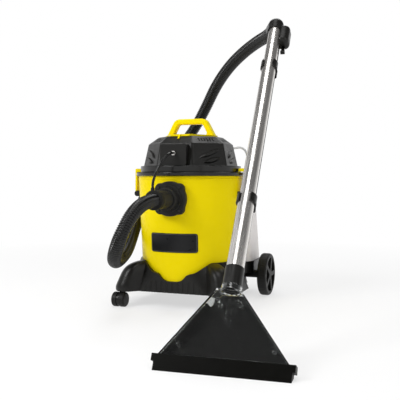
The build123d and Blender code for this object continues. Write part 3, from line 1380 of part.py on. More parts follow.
# Solution pump inside the head
with BuildPart() as solution_pump:
    with BuildSketch(Plane.XY.offset(base_floor)):
        with Locations((PUMP_X, PUMP_Y)):
            Circle(PUMP_RADIUS)
    extrude(amount=PUMP_HEIGHT)
    fillet(solution_pump.edges().filter_by(GeomType.CIRCLE).group_by(Axis.Z)[-1], PUMP_RADIUS / 4)
    with BuildSketch(Plane.XY.offset(base_floor + PUMP_HEIGHT)):
        with Locations((PUMP_X, PUMP_Y)):
            with GridLocations(PUMP_RADIUS, 1, 2, 1):
                Circle(BARB_RADIUS)
    extrude(amount=BARB_LENGTH)
keep(solution_pump, "solution_pump")

# Cable gland on the head's rear wall
with BuildPart() as cable_gland:
    with BuildSketch(facet_plane(180, GLAND_Z)):
        with Locations((-GLAND_X, 0)):
            Circle(GLAND_RADIUS + GLAND_FLANGE)
    extrude(amount=GLAND_FLANGE)
    with BuildSketch(facet_plane(180, GLAND_Z)):
        with Locations((-GLAND_X, 0)):
            Circle(GLAND_RADIUS)
    extrude(amount=GLAND_LENGTH)
    with BuildSketch(facet_plane(180, GLAND_Z)):
        with Locations((-GLAND_X, 0)):
            Circle(GLAND_RADIUS)
    extrude(amount=-3 * HEAD_WALL)
    with BuildSketch(facet_plane(180, GLAND_Z).offset(-3 * HEAD_WALL)):
        with Locations((-GLAND_X, 0)):
            Circle(GLAND_BORE_RADIUS)
    extrude(amount=GLAND_LENGTH + 3 * HEAD_WALL, mode=Mode.SUBTRACT)
keep(cable_gland, "cable_gland")

# Clean-water tank behind the tub, its cap, the dip tube and the clear pickup tube
tank_depth = TANK_BACK_Y - TANK_FRONT_Y
tank_middle = (TANK_BACK_Y + TANK_FRONT_Y) / 2
tank_levels = [(DECK_TOP_Z, TANK_HALF_WIDTH), (TANK_TOP_Z, TANK_TOP_HALF_WIDTH)]
with BuildPart() as tank_void:
    for level, half in tank_levels:
        inward = TANK_WALL if level == DECK_TOP_Z else -TANK_WALL
        with BuildSketch(Plane.XY.offset(level + inward)):
            with Locations((0, tank_middle)):
                RectangleRounded(
                    2 * (half - TANK_WALL), tank_depth - 2 * TANK_WALL, TANK_CORNER - TANK_WALL
                )
    loft(ruled=True)
    fillet(tank_void.faces().sort_by(Axis.Z)[-1].edges(), TANK_TOP_ROUND - TANK_WALL)
    with BuildSketch(Plane.XY):
        Circle(tub_side + TANK_WALL)
    extrude(amount=2 * TANK_TOP_Z, mode=Mode.SUBTRACT)

with BuildPart() as tank:
    for level, half in tank_levels:
        with BuildSketch(Plane.XY.offset(level)):
            with Locations((0, tank_middle)):
                RectangleRounded(2 * half, tank_depth, TANK_CORNER)
    loft(ruled=True)
    fillet(tank.faces().sort_by(Axis.Z)[-1].edges(), TANK_TOP_ROUND)
    with BuildSketch(Plane.XY):
        Circle(tub_side)
    extrude(amount=2 * TANK_TOP_Z, mode=Mode.SUBTRACT)
    with BuildSketch(Plane.XY.offset(TANK_TOP_Z - TANK_WALL)):
        with Locations((NECK_X, NECK_Y)):
            Circle(NECK_RADIUS)
    extrude(amount=NECK_HEIGHT + TANK_WALL)
    add(tank_void.part, mode=Mode.SUBTRACT)
    with BuildSketch(Plane.XY.offset(TANK_TOP_Z + NECK_HEIGHT)):
        with Locations((NECK_X, NECK_Y)):
            Circle(NECK_RADIUS - TANK_WALL)
    extrude(amount=-NECK_HEIGHT - 2 * TANK_WALL, mode=Mode.SUBTRACT)
    with BuildSketch(Plane.XY.offset(TANK_TOP_Z)):
        with Locations((DIP_X, DIP_Y)):
            Circle(PICKUP_HOLE_RADIUS)
    extrude(amount=-2 * TANK_WALL, mode=Mode.SUBTRACT)
keep(tank, "tank")

cap_radius = NECK_RADIUS + TURN_FIT + CAP_WALL
with BuildPart() as tank_cap:
    with BuildSketch(Plane.XY.offset(TANK_TOP_Z + PART_GAP)):
        with Locations((NECK_X, NECK_Y)):
            Circle(cap_radius)
    extrude(amount=CAP_HEIGHT)
    fillet(tank_cap.edges().filter_by(GeomType.CIRCLE).group_by(Axis.Z)[-1], CAP_WALL / 2)
    with BuildSketch(Plane.XY.offset(TANK_TOP_Z)):
        with Locations((NECK_X, NECK_Y)):
            Circle(NECK_RADIUS + TURN_FIT)
    extrude(amount=NECK_HEIGHT + SEAT_GAP, mode=Mode.SUBTRACT)
    with BuildSketch(Plane.XY.offset(TANK_TOP_Z + PART_GAP)):
        with Locations((NECK_X, NECK_Y)):
            with PolarLocations(cap_radius + CAP_WALL / 4, CAP_GRIPS):
                Circle(CAP_WALL / 2)
    extrude(amount=CAP_HEIGHT - CAP_WALL, mode=Mode.SUBTRACT)
keep(tank_cap, "tank_cap")

dip_top = TANK_TOP_Z + PICKUP_TOP
with BuildPart() as dip_tube:
    with BuildSketch(Plane.XY.offset(DECK_TOP_Z + TANK_WALL + DIP_CLEARANCE)):
        with Locations((DIP_X, DIP_Y)):
            Circle(PICKUP_RADIUS)
    extrude(amount=dip_top - DECK_TOP_Z - TANK_WALL - DIP_CLEARANCE)
    with BuildSketch(Plane.XY.offset(TANK_TOP_Z + SEAT_GAP)):
        with Locations((DIP_X, DIP_Y)):
            Circle(DIP_FLANGE_RADIUS)
    extrude(amount=DIP_FLANGE)
    with BuildSketch(Plane.XY.offset(dip_top)):
        with Locations((DIP_X, DIP_Y)):
            Circle(BARB_RADIUS)
    extrude(amount=BARB_LENGTH)
keep(dip_tube, "dip_tube")

pickup_route = [PICKUP_START] + PICKUP_POINTS + [(DIP_X, DIP_Y, dip_top)]
pickup_wire = tube_wire(pickup_route)
with BuildPart() as pickup_tube:
    with BuildSketch(steady_planes(pickup_wire, [0.0])[0]):
        Circle(PICKUP_RADIUS)
        Circle(PICKUP_BORE_RADIUS, mode=Mode.SUBTRACT)
    sweep(path=pickup_wire)
report_tube("pickup tube", pickup_route, PICKUP_RADIUS, PICKUP_BORE_RADIUS, pickup_wire, pickup_tube.part)
keep(pickup_tube, "pickup_tube")

# Nozzle: lip on the floor, clear funnel cover, back plate with its side rims, screws and spray jet
lip_top = LIP_HEIGHT + LIP_BAR_HEIGHT
funnel_height = NOZZLE_LENGTH - lip_top
funnel_lean = (COVER_NECK_DEPTH - COVER_FOOT_DEPTH) / 2 / funnel_height
side_slope = (COVER_FOOT_WIDTH - COVER_NECK_WIDTH) / 2 / funnel_height
side_wall = COVER_WALL * hypot(1, side_slope)


def half_depth(height):
    """Half the nozzle cover's depth at a height along its face."""
    return COVER_FOOT_DEPTH / 2 + funnel_lean * (height - lip_top)


def plate_plane(height):
    """Plane on the inner face of the nozzle's back plate, facing forward."""
    front = lip_across.cross(nozzle_up)
    place = lip_centre + nozzle_up * height - front * half_depth(height)
    return Plane(origin=place, x_dir=lip_across, z_dir=front + nozzle_up * funnel_lean)


def funnel_sections(low, high, side_inset, front_inset, back_inset):
    """Sections of the nozzle at two heights, drawn in at its sides, front and back."""
    sections = []
    for height in (low, high):
        width = COVER_FOOT_WIDTH - 2 * side_slope * (height - lip_top) - 2 * side_inset
        depth = 2 * half_depth(height) - front_inset - back_inset
        with BuildSketch(nozzle_level(height)) as section:
            with Locations((0, (front_inset - back_inset) / 2)):
                Rectangle(width, depth)
        sections.append(section.sketch)
    return sections


with BuildPart() as nozzle_lip:
    with BuildSketch(nozzle_face.offset(-LIP_DEPTH / 2)):
        Rectangle(LIP_WIDTH - 2 * LIP_STEP, 2 * LIP_HEIGHT)
        with Locations((0, LIP_HEIGHT + LIP_BAR_HEIGHT / 2)):
            Rectangle(LIP_WIDTH, LIP_BAR_HEIGHT)
    extrude(amount=LIP_DEPTH)
    fillet(nozzle_lip.edges().filter_by(lambda edge: edge.length > LIP_WIDTH - 1), LIP_SLOT / 4)
    with BuildSketch(nozzle_face.offset(-LIP_SLOT / 2)):
        Rectangle(COVER_FOOT_WIDTH - 2 * LIP_SLOT_MARGIN, 4 * lip_top)
    extrude(amount=LIP_SLOT, mode=Mode.SUBTRACT)
    split(bisect_by=Plane.XY, keep=Keep.TOP)
keep(nozzle_lip, "nozzle_lip")

with BuildPart() as nozzle_cover:
    loft(sections=funnel_sections(lip_top, NOZZLE_LENGTH, 0, 0, 0), ruled=True)
    with BuildSketch(wand_plane(0)):
        Circle(NECK_TUBE_RADIUS)
    extrude(amount=NECK_TUBE_RISE)
    hollow = funnel_sections(lip_top, NOZZLE_LENGTH - COVER_WALL, side_wall, COVER_WALL, -COVER_WALL)
    loft(sections=hollow, ruled=True, mode=Mode.SUBTRACT)
    with BuildSketch(wand_plane(-COVER_WALL)):
        Circle(COLLAR_SPIGOT_RADIUS + SLIP_FIT)
    extrude(amount=NECK_TUBE_RISE + COVER_WALL, mode=Mode.SUBTRACT)
    for across, height in BOSSES:
        with BuildSketch(plate_plane(height)):
            with Locations((across, 0), (-across, 0)):
                Circle(BOSS_RADIUS)
        extrude(amount=2 * half_depth(height) - COVER_WALL / 2)
    with BuildSketch(plate_plane((RIB_LOW + RIB_HIGH) / 2)):
        Rectangle(RIB_WIDTH, RIB_HIGH - RIB_LOW)
    extrude(amount=2 * half_depth(RIB_LOW) - COVER_WALL / 2)
    for across, height in BOSSES:
        with BuildSketch(plate_plane(height)):
            with Locations((across, 0), (-across, 0)):
                Circle(SCREW_RADIUS)
        extrude(amount=COVER_FOOT_DEPTH / 2, mode=Mode.SUBTRACT)
keep(nozzle_cover, "nozzle_cover")

with BuildPart() as nozzle_back:
    for height in (lip_top, NOZZLE_LENGTH - COVER_WALL):
        width = COVER_FOOT_WIDTH - 2 * side_slope * (height - lip_top)
        with BuildSketch(nozzle_level(height)):
            with Locations((0, half_depth(height) + BACK_PLATE / 2)):
                Rectangle(width, BACK_PLATE)
    loft(ruled=True)
    rim_inset = side_wall + PART_GAP
    loft(sections=funnel_sections(lip_top, RIB_HIGH, rim_inset, COVER_WALL + PART_GAP, 0), ruled=True)
    inside = funnel_sections(lip_top, RIB_HIGH, rim_inset + BACK_RIM, 0, 0)
    loft(sections=inside, ruled=True, mode=Mode.SUBTRACT)
    for across, height in BOSSES:
        with BuildSketch(plate_plane(height)):
            with Locations((across, 0), (-across, 0)):
                Circle(SCREW_RADIUS)
        extrude(amount=-2 * BACK_PLATE, mode=Mode.SUBTRACT)
keep(nozzle_back, "nozzle_back")

with BuildPart() as nozzle_screws:
    for across, height in BOSSES:
        with BuildSketch(plate_plane(height).offset(-BACK_PLATE)):
            with Locations((across, 0), (-across, 0)):
                Circle(SCREW_HEAD_RADIUS)
        extrude(amount=-SCREW_HEAD)
        with BuildSketch(plate_plane(height).offset(-BACK_PLATE)):
            with Locations((across, 0), (-across, 0)):
                Circle(SCREW_RADIUS)
        extrude(amount=BACK_PLATE + COVER_FOOT_DEPTH / 2)
keep(nozzle_screws, "nozzle_screws")


def behind_plate(across, height):
    """Point behind the back plate where the spray line runs."""
    back = half_depth(height) + BACK_PLATE + SPRAY_LINE_LIFT
    return lip_centre + lip_across * across + nozzle_up * height - lip_across.cross(nozzle_up) * back


line_start = wand_plane(VALVE_BOTTOM + LINE_ENTRY).from_local_coords((SPRAY_LINE_X, SPRAY_LINE_Y, 0))
line_turn = wand_plane(SPRAY_LINE_TURN).from_local_coords((SPRAY_LINE_X, SPRAY_LINE_Y, 0))
line_bend = behind_plate(SPRAY_LINE_X / 2, (NOZZLE_LENGTH + JET_Z) / 2)
line_end = behind_plate(0, JET_Z)
spray_route = [tuple(line_start), tuple(line_turn), tuple(line_bend), tuple(line_end)]
spray_wire = tube_wire(spray_route)
jet_plane = plate_plane(JET_Z).offset(-BACK_PLATE)
with BuildPart() as spray_jet:
    with BuildSketch(jet_plane):
        RectangleRounded(JET_WIDTH, JET_HEIGHT, JET_HEIGHT / 6)
    extrude(amount=-JET_DEPTH)
    with BuildSketch(nozzle_level(JET_Z - JET_TIP - JET_HEIGHT / 2)):
        with Locations((0, half_depth(JET_Z) + BACK_PLATE + SPRAY_LINE_LIFT)):
            Circle(SPRAY_LINE_RADIUS)
    extrude(amount=JET_HEIGHT / 2 + JET_TIP)
    with BuildSketch(Plane(origin=line_end, z_dir=line_bend - line_end)):
        Circle(SPRAY_LINE_RADIUS + SLIP_FIT)
    extrude(amount=JET_HEIGHT, mode=Mode.SUBTRACT)
keep(spray_jet, "spray_jet")

with BuildPart() as wand_spray_line:
    with BuildSketch(steady_planes(spray_wire, [0.0])[0]):
        Circle(SPRAY_LINE_RADIUS)
        Circle(SPRAY_LINE_BORE_RADIUS, mode=Mode.SUBTRACT)
    sweep(path=spray_wire)
spray_part = wand_spray_line.part
report_tube("spray line", spray_route, SPRAY_LINE_RADIUS, SPRAY_LINE_BORE_RADIUS, spray_wire, spray_part)
keep(wand_spray_line, "wand_spray_line")

# Wand tubes, each sliding into the one below, with the collar on the nozzle's neck
main_radius = LOWER_TUBE_RADIUS - TUBE_WALL - SLIP_FIT
upper_radius = main_radius - TUBE_WALL - SLIP_FIT
with BuildPart() as wand_collar:
    with BuildSketch(wand_plane(NECK_TUBE_RISE)):
        Circle(COLLAR_RADIUS)
    extrude(amount=COLLAR_TOP - NECK_TUBE_RISE)
    with BuildSketch(wand_plane(NECK_TUBE_RISE)):
        Circle(COLLAR_SPIGOT_RADIUS)
    extrude(amount=-COLLAR_SPIGOT)
    with BuildSketch(wand_plane(NECK_TUBE_RISE - COLLAR_SPIGOT)):
        Circle(COLLAR_BORE_RADIUS)
    extrude(amount=COLLAR_TOP, mode=Mode.SUBTRACT)
    with BuildSketch(wand_plane(COLLAR_SEAT)):
        Circle(LOWER_TUBE_RADIUS + SLIP_FIT)
    extrude(amount=COLLAR_TOP, mode=Mode.SUBTRACT)
keep(wand_collar, "wand_collar")

tube_runs = [
    ("lower_tube", LOWER_TUBE_RADIUS, COLLAR_SEAT, LOWER_TUBE_END),
    ("main_tube", main_radius, LOWER_TUBE_END - TUBE_LAP, MAIN_TUBE_END),
    ("upper_tube", upper_radius, MAIN_TUBE_END - TUBE_LAP, UPPER_TUBE_END),
]
for name, radius, low, high in tube_runs:
    with BuildPart() as wand_tube:
        with BuildSketch(wand_plane(low)):
            Circle(radius)
            Circle(radius - TUBE_WALL, mode=Mode.SUBTRACT)
        extrude(amount=high - low)
    keep(wand_tube, name)

with BuildPart() as tube_clips:
    for radius, top in ((LOWER_TUBE_RADIUS, LOWER_TUBE_END), (main_radius, MAIN_TUBE_END)):
        with BuildSketch(wand_plane(top - CLIP_LENGTH)):
            Circle(radius + CLIP_WALL)
            with Locations((SPRAY_LINE_X, SPRAY_LINE_Y)):
                Circle(SPRAY_LINE_RADIUS + CLIP_WALL)
            Circle(radius + SLIP_FIT, mode=Mode.SUBTRACT)
            with Locations((SPRAY_LINE_X, SPRAY_LINE_Y)):
                Circle(SPRAY_LINE_RADIUS + SLIP_FIT, mode=Mode.SUBTRACT)
            with Locations((0, -radius)):
                Rectangle(CLIP_MOUTH, radius, mode=Mode.SUBTRACT)
        extrude(amount=CLIP_LENGTH)
keep(tube_clips, "tube_clips")

# Elbow on top of the wand, open to the tube below and to the hose behind
elbow_radius = HOSE_RADIUS + PART_GAP + ELBOW_WALL
elbow_foot = ELBOW_AT - ELBOW_COLLAR
port_plane = Plane(origin=elbow_centre, z_dir=heading)
with BuildPart() as wand_elbow:
    with Locations(elbow_centre):
        Sphere(elbow_radius)
    with BuildSketch(wand_plane(elbow_foot)):
        Circle(ELBOW_COLLAR_RADIUS)
    extrude(amount=ELBOW_COLLAR)
    with BuildSketch(port_plane):
        Circle(elbow_radius)
    extrude(amount=ELBOW_PORT_LENGTH)
    with Locations(elbow_centre):
        Sphere(HOSE_BORE_RADIUS, mode=Mode.SUBTRACT)
    with BuildSketch(wand_plane(elbow_foot)):
        Circle(upper_radius + SLIP_FIT)
    extrude(amount=UPPER_TUBE_END - elbow_foot, mode=Mode.SUBTRACT)
    with BuildSketch(wand_plane(UPPER_TUBE_END)):
        Circle(HOSE_BORE_RADIUS)
    extrude(amount=ELBOW_AT - UPPER_TUBE_END, mode=Mode.SUBTRACT)
    with BuildSketch(port_plane):
        Circle(HOSE_BORE_RADIUS)
    extrude(amount=ELBOW_PORT_LENGTH, mode=Mode.SUBTRACT)
    with BuildSketch(port_plane.offset(ELBOW_SEAT - PART_GAP)):
        Circle(HOSE_RADIUS + PART_GAP)
    extrude(amount=ELBOW_PORT_LENGTH, mode=Mode.SUBTRACT)
    with BuildSketch(port_plane.offset(ELBOW_SEAT - PART_GAP)):
        Rectangle(2 * HOSE_BORE_RADIUS + ELBOW_WALL, 2 * ELBOW_WALL)
    extrude(amount=-2 * ELBOW_WALL)
    with BuildSketch(port_plane.offset(ELBOW_SEAT - PART_GAP)):
        Circle(BARB_RADIUS)
    extrude(amount=BARB_LENGTH)
keep(wand_elbow, "wand_elbow")

# Spray valve: housing clamped on the upper tube, with a trigger on a cross pin
trigger_slot = TRIGGER_WIDTH + 2 * PART_GAP
slot_depth = VALVE_Y + VALVE_DEPTH / 2 - TRIGGER_Y + TRIGGER_SLOT
slot_height = TRIGGER_PIVOT - VALVE_BOTTOM + TRIGGER_SLOT
pin_centre = wand_plane(TRIGGER_PIVOT).from_local_coords((VALVE_X, TRIGGER_Y, 0))
pin_plane = Plane(origin=pin_centre, x_dir=wand_up, z_dir=lip_across)
clamp_radius = upper_radius + CLAMP_WALL
with BuildPart() as valve_housing:
    with BuildSketch(wand_plane(VALVE_BOTTOM)):
        with Locations((VALVE_X, VALVE_Y)):
            RectangleRounded(VALVE_WIDTH, VALVE_DEPTH, VALVE_ROUND)
    extrude(amount=VALVE_TOP - VALVE_BOTTOM)
    ends = valve_housing.faces().filter_by(GeomType.PLANE).filter_by(wand_plane(0))
    fillet(ends.edges(), VALVE_EDGE_ROUND)
    with BuildSketch(wand_plane(VALVE_BOTTOM + CLAMP_INSET)):
        Circle(clamp_radius)
        with Locations((0, -clamp_radius / 2)):
            Rectangle(2 * clamp_radius, clamp_radius, mode=Mode.SUBTRACT)
    extrude(amount=VALVE_TOP - VALVE_BOTTOM - 2 * CLAMP_INSET)
    with BuildSketch(wand_plane(VALVE_BOTTOM)):
        Circle(upper_radius + SLIP_FIT)
    extrude(amount=VALVE_TOP - VALVE_BOTTOM, mode=Mode.SUBTRACT)
    with BuildSketch(wand_plane(elbow_foot - PART_GAP)):
        Circle(ELBOW_COLLAR_RADIUS + PART_GAP)
    extrude(amount=ELBOW_COLLAR, mode=Mode.SUBTRACT)
    with BuildSketch(wand_plane(VALVE_BOTTOM)):
        with Locations((SPRAY_LINE_X, SPRAY_LINE_Y)):
            Circle(SPRAY_LINE_RADIUS + SLIP_FIT)
    extrude(amount=LINE_ENTRY, mode=Mode.SUBTRACT)
    with BuildSketch(wand_plane(VALVE_BOTTOM)):
        with Locations((VALVE_X, TRIGGER_Y - TRIGGER_SLOT + slot_depth / 2)):
            Rectangle(trigger_slot, slot_depth)
    extrude(amount=slot_height, mode=Mode.SUBTRACT)
    with BuildSketch(pin_plane):
        Circle(TRIGGER_PIN_RADIUS)
    extrude(amount=VALVE_WIDTH / 3, both=True, mode=Mode.SUBTRACT)
keep(valve_housing, "valve_housing")

with BuildPart() as trigger_pin:
    with BuildSketch(pin_plane):
        Circle(TRIGGER_PIN_RADIUS)
    extrude(amount=VALVE_WIDTH / 3, both=True)
keep(trigger_pin, "trigger_pin")

trigger_reach = TRIGGER_PIVOT - TRIGGER_TIP
with BuildPart() as trigger:
    with BuildSketch(pin_plane):
        Circle(TRIGGER_BARREL_RADIUS)
        with Locations((-trigger_reach / 2, 0)):
            Rectangle(trigger_reach, TRIGGER_THICKNESS)
    extrude(amount=TRIGGER_WIDTH / 2, both=True)
    with BuildSketch(pin_plane):
        with Locations((-trigger_reach, 0)):
            Circle(TRIGGER_KNOB_RADIUS)
    extrude(amount=TRIGGER_KNOB_RADIUS, both=True)
    with BuildSketch(pin_plane):
        Circle(TRIGGER_PIN_RADIUS + TURN_FIT)
    extrude(amount=TRIGGER_WIDTH, both=True, mode=Mode.SUBTRACT)
keep(trigger, "trigger")
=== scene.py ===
"""Looks of the carpet cleaner: finishes, hoses, trim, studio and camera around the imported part.

Lengths are in metres, in the part's own frame: the origin is on the floor under the tub's axis,
+Z is up and the machine's front looks along -Y.
"""

import logging
import math
from dataclasses import dataclass, field
from enum import Enum
from typing import Dict, List, Optional, Sequence, Tuple

import bmesh
import bpy
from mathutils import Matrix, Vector


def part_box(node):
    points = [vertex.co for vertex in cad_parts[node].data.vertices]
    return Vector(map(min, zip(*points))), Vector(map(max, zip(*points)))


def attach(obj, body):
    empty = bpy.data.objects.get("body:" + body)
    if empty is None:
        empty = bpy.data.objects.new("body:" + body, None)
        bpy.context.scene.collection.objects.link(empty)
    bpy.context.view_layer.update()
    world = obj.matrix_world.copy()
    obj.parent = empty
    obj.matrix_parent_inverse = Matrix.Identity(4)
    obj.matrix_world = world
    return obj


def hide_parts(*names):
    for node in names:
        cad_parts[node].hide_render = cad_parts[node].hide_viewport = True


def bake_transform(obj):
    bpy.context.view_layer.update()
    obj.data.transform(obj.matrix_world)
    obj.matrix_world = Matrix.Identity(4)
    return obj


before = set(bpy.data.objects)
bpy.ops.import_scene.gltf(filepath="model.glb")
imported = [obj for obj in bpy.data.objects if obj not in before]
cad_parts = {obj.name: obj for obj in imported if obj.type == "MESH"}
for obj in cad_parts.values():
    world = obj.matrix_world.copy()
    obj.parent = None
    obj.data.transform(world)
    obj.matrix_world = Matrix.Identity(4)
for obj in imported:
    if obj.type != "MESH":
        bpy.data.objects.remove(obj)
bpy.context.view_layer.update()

log = logging.getLogger("carpet_cleaner")

Point = Tuple[float, float, float]
Colour = Tuple[float, float, float]
Span = Tuple[float, float]
Socket = bpy.types.NodeSocket

MILLI = 0.001
FULL_TURN = 2.0 * math.pi
QUARTER = 90.0
X_AXIS = Vector((1.0, 0.0, 0.0))
DOWN = Vector((0.0, 0.0, -1.0))
WHITE = (1.0, 1.0, 1.0, 1.0)

# The part of a noise's values that is spread over a finish's own range.
NOISE_SPAN: Span = (0.3, 0.7)
# Cosines between a rounded and a flat normal: where an edge starts and where it counts in full.
EDGE_SPAN: Span = (0.99, 0.75)


def metres(points: Sequence[Point]) -> List[Vector]:
    """Turn points given in millimetres into vectors in metres."""
    return [Vector(point) * MILLI for point in points]


def shade(colour: Colour, factor: float) -> Colour:
    """Make a colour darker or lighter by a factor."""
    return tuple(min(1.0, channel * factor) for channel in colour)


class NodeSheet:
    """A material's node tree with short calls for the nodes that the finishes use."""

    def __init__(self, name: str) -> None:
        """Start a material with a surface shader joined to its output.

        Args:
            name: the material's name.
        """
        self.material = bpy.data.materials.new(name)
        self.material.use_nodes = True
        self.tree = self.material.node_tree
        self.tree.nodes.clear()
        self.output = self.add("OutputMaterial")
        self.shader = self.add("BsdfPrincipled")
        self.join(self.shader.outputs["BSDF"], self.output.inputs["Surface"])

    def add(self, kind: str) -> bpy.types.Node:
        """Add a shader node of a kind."""
        return self.tree.nodes.new("ShaderNode" + kind)

    def join(self, source: Socket, target: Socket) -> None:
        """Link one socket to another."""
        self.tree.links.new(source, target)

    def feed(self, source: Socket, socket: str) -> None:
        """Link a socket to one of the surface shader's own."""
        self.join(source, self.shader.inputs[socket])

    def set(self, socket: str, value: object) -> None:
        """Set a constant on the surface shader's own socket."""
        self.shader.inputs[socket].default_value = value

    def coords(self, stretch: Point = (1.0, 1.0, 1.0), turn: Point = (0.0, 0.0, 0.0)) -> Socket:
        """Give the part's own coordinates, turned and then squeezed along the turned axes.

        Args:
            stretch: how far a texture is drawn out along X, Y and Z.
            turn: the turned axes' angles in radians.

        Returns:
            The mapped vector socket.
        """
        source = self.add("TexCoord")
        mapping = self.add("Mapping")
        mapping.vector_type = "TEXTURE"
        mapping.inputs["Scale"].default_value = stretch
        mapping.inputs["Rotation"].default_value = turn
        self.join(source.outputs["Object"], mapping.inputs["Vector"])
        return mapping.outputs["Vector"]

    def noise(self, vector: Socket, scale: float, detail: float = 3.0) -> Socket:
        """Add a noise texture.

        Args:
            vector: where the noise is read.
            scale: grains per metre.
            detail: how many finer layers it has.

        Returns:
            The noise value socket.
        """
        texture = self.add("TexNoise")
        texture.inputs["Scale"].default_value = scale
        texture.inputs["Detail"].default_value = detail
        self.join(vector, texture.inputs["Vector"])
        return texture.outputs["Fac"]

    def spread(self, value: Socket, span: Span, result: Span) -> Socket:
        """Map a range of values to another, held at its ends.

        Args:
            value: the value to map.
            span: the range that is mapped.
            result: what its two ends become.

        Returns:
            The mapped value socket.
        """
        ranged = self.add("MapRange")
        ranged.inputs["From Min"].default_value = span[0]
        ranged.inputs["From Max"].default_value = span[1]
        ranged.inputs["To Min"].default_value = result[0]
        ranged.inputs["To Max"].default_value = result[1]
        self.join(value, ranged.inputs["Value"])
        return ranged.outputs["Result"]

    def vary_gloss(self, value: Socket, roughness: float, shares: Span) -> None:
        """Let the surface's roughness follow a noise.

        Args:
            value: the noise value.
            roughness: the roughness that the shares are taken of.
            shares: its lowest and highest share.
        """
        ends = (roughness * shares[0], roughness * shares[1])
        self.feed(self.spread(value, NOISE_SPAN, ends), "Roughness")

    def shades(self, value: Socket, dark: Colour, light: Colour) -> Socket:
        """Blend two colours by a noise.

        Args:
            value: the noise value.
            dark: colour at its low end.
            light: colour at its high end.

        Returns:
            The colour socket.
        """
        ramp = self.add("ValToRGB")
        for end, place, colour in zip(ramp.color_ramp.elements, NOISE_SPAN, (dark, light)):
            end.position = place
            end.color = (*colour, 1.0)
        self.join(value, ramp.inputs["Fac"])
        return ramp.outputs["Color"]

    def edges(self, radius: float) -> Tuple[Socket, Socket]:
        """Round the shading of edges and find where they are.

        Args:
            radius: the edges' radius.

        Returns:
            The rounded normal, and a mask that is 1 on edges and 0 on faces.
        """
        rounded = self.add("Bevel")
        rounded.inputs["Radius"].default_value = radius
        face = self.add("NewGeometry")
        meet = self.add("VectorMath")
        meet.operation = "DOT_PRODUCT"
        self.join(rounded.outputs["Normal"], meet.inputs[0])
        self.join(face.outputs["Normal"], meet.inputs[1])
        return rounded.outputs["Normal"], self.spread(meet.outputs["Value"], EDGE_SPAN, (0.0, 1.0))

    def blend(self, share: Socket, tone: Socket, worn: Colour) -> Socket:
        """Lay a worn colour over a tone where a mask says so.

        Args:
            share: the mask.
            tone: the colour below.
            worn: the colour laid over it.

        Returns:
            The colour socket.
        """
        mix = self.add("Mix")
        mix.data_type = "RGBA"
        self.join(share, mix.inputs["Factor"])
        self.join(tone, mix.inputs["A"])
        mix.inputs["B"].default_value = (*worn, 1.0)
        return mix.outputs["Result"]

    def relief(self, height: Socket, depth: float, strength: float, normal: Optional[Socket] = None) -> None:
        """Raise the surface by a texture.

        Args:
            height: the height texture.
            depth: its depth in metres.
            strength: how strongly it shows, from 0 to 1.
            normal: the normal that it is laid on, if not the surface's own.
        """
        bump = self.add("Bump")
        bump.inputs["Strength"].default_value = strength
        bump.inputs["Distance"].default_value = depth
        self.join(height, bump.inputs["Height"])
        if normal is not None:
            self.join(normal, bump.inputs["Normal"])
        self.feed(bump.outputs["Normal"], "Normal")


@dataclass(frozen=True)
class MouldedPlastic:
    """An opaque moulded plastic: gloss or satin, with flow marks, a fine skin and rubbed edges.

    A grain is a noise's count per metre. Depths and the edges' radius are in metres.
    """

    name: str
    colour: Colour
    roughness: float
    shine: float
    grain: float = 1000.0
    relief: float = 0.2
    mottle: float = 0.05
    edge: float = 0.0012
    wear: float = 0.25
    worn: Colour = (0.05, 0.049, 0.047)
    flow_grain: float = 7.0
    scuff_grain: float = 55.0
    scuff_span: Span = (0.4, 0.62)
    gloss_shares: Span = (0.85, 1.2)
    skin_depth: float = 0.0003

    def build(self) -> bpy.types.Material:
        """Make the node material of this plastic.

        Returns:
            The material.
        """
        sheet = NodeSheet(self.name)
        coords = sheet.coords()
        flow = sheet.noise(coords, self.flow_grain, detail=4.0)
        scuff = sheet.noise(coords, self.scuff_grain, detail=5.0)
        skin = sheet.noise(coords, self.grain, detail=2.0)
        normal, mask = sheet.edges(self.edge)
        rubbed = sheet.add("Math")
        rubbed.operation = "MULTIPLY"
        sheet.join(mask, rubbed.inputs[0])
        sheet.join(sheet.spread(scuff, self.scuff_span, (0.0, self.wear)), rubbed.inputs[1])
        dark, light = (shade(self.colour, 1.0 + way * self.mottle) for way in (-1, 1))
        tone = sheet.shades(flow, dark, light)
        sheet.feed(sheet.blend(rubbed.outputs["Value"], tone, self.worn), "Base Color")
        sheet.vary_gloss(scuff, self.roughness, self.gloss_shares)
        sheet.set("Specular IOR Level", self.shine)
        sheet.relief(skin, self.skin_depth, self.relief, normal)
        return sheet.material


@dataclass(frozen=True)
class BrightMetal:
    """A plated or turned metal with faint drawn lines along one of its own axes."""

    name: str
    colour: Colour
    roughness: float
    drawn: Point = (0.003, 0.003, 0.15)
    turn: Point = (0.0, 0.0, 0.0)
    stain_grain: float = 16.0
    stain_shade: float = 0.93
    gloss_shares: Span = (0.7, 1.4)
    edge: float = 0.0008
    line_depth: float = 0.0001
    line_relief: float = 0.05

    def build(self) -> bpy.types.Material:
        """Make the node material of this metal.

        Returns:
            The material.
        """
        sheet = NodeSheet(self.name)
        lines = sheet.noise(sheet.coords(self.drawn, self.turn), scale=1.0)
        stain = sheet.noise(sheet.coords(), self.stain_grain, detail=4.0)
        sheet.feed(sheet.shades(stain, shade(self.colour, self.stain_shade), self.colour), "Base Color")
        sheet.vary_gloss(lines, self.roughness, self.gloss_shares)
        sheet.set("Metallic", 1.0)
        normal, _ = sheet.edges(self.edge)
        sheet.relief(lines, self.line_depth, self.line_relief, normal)
        return sheet.material


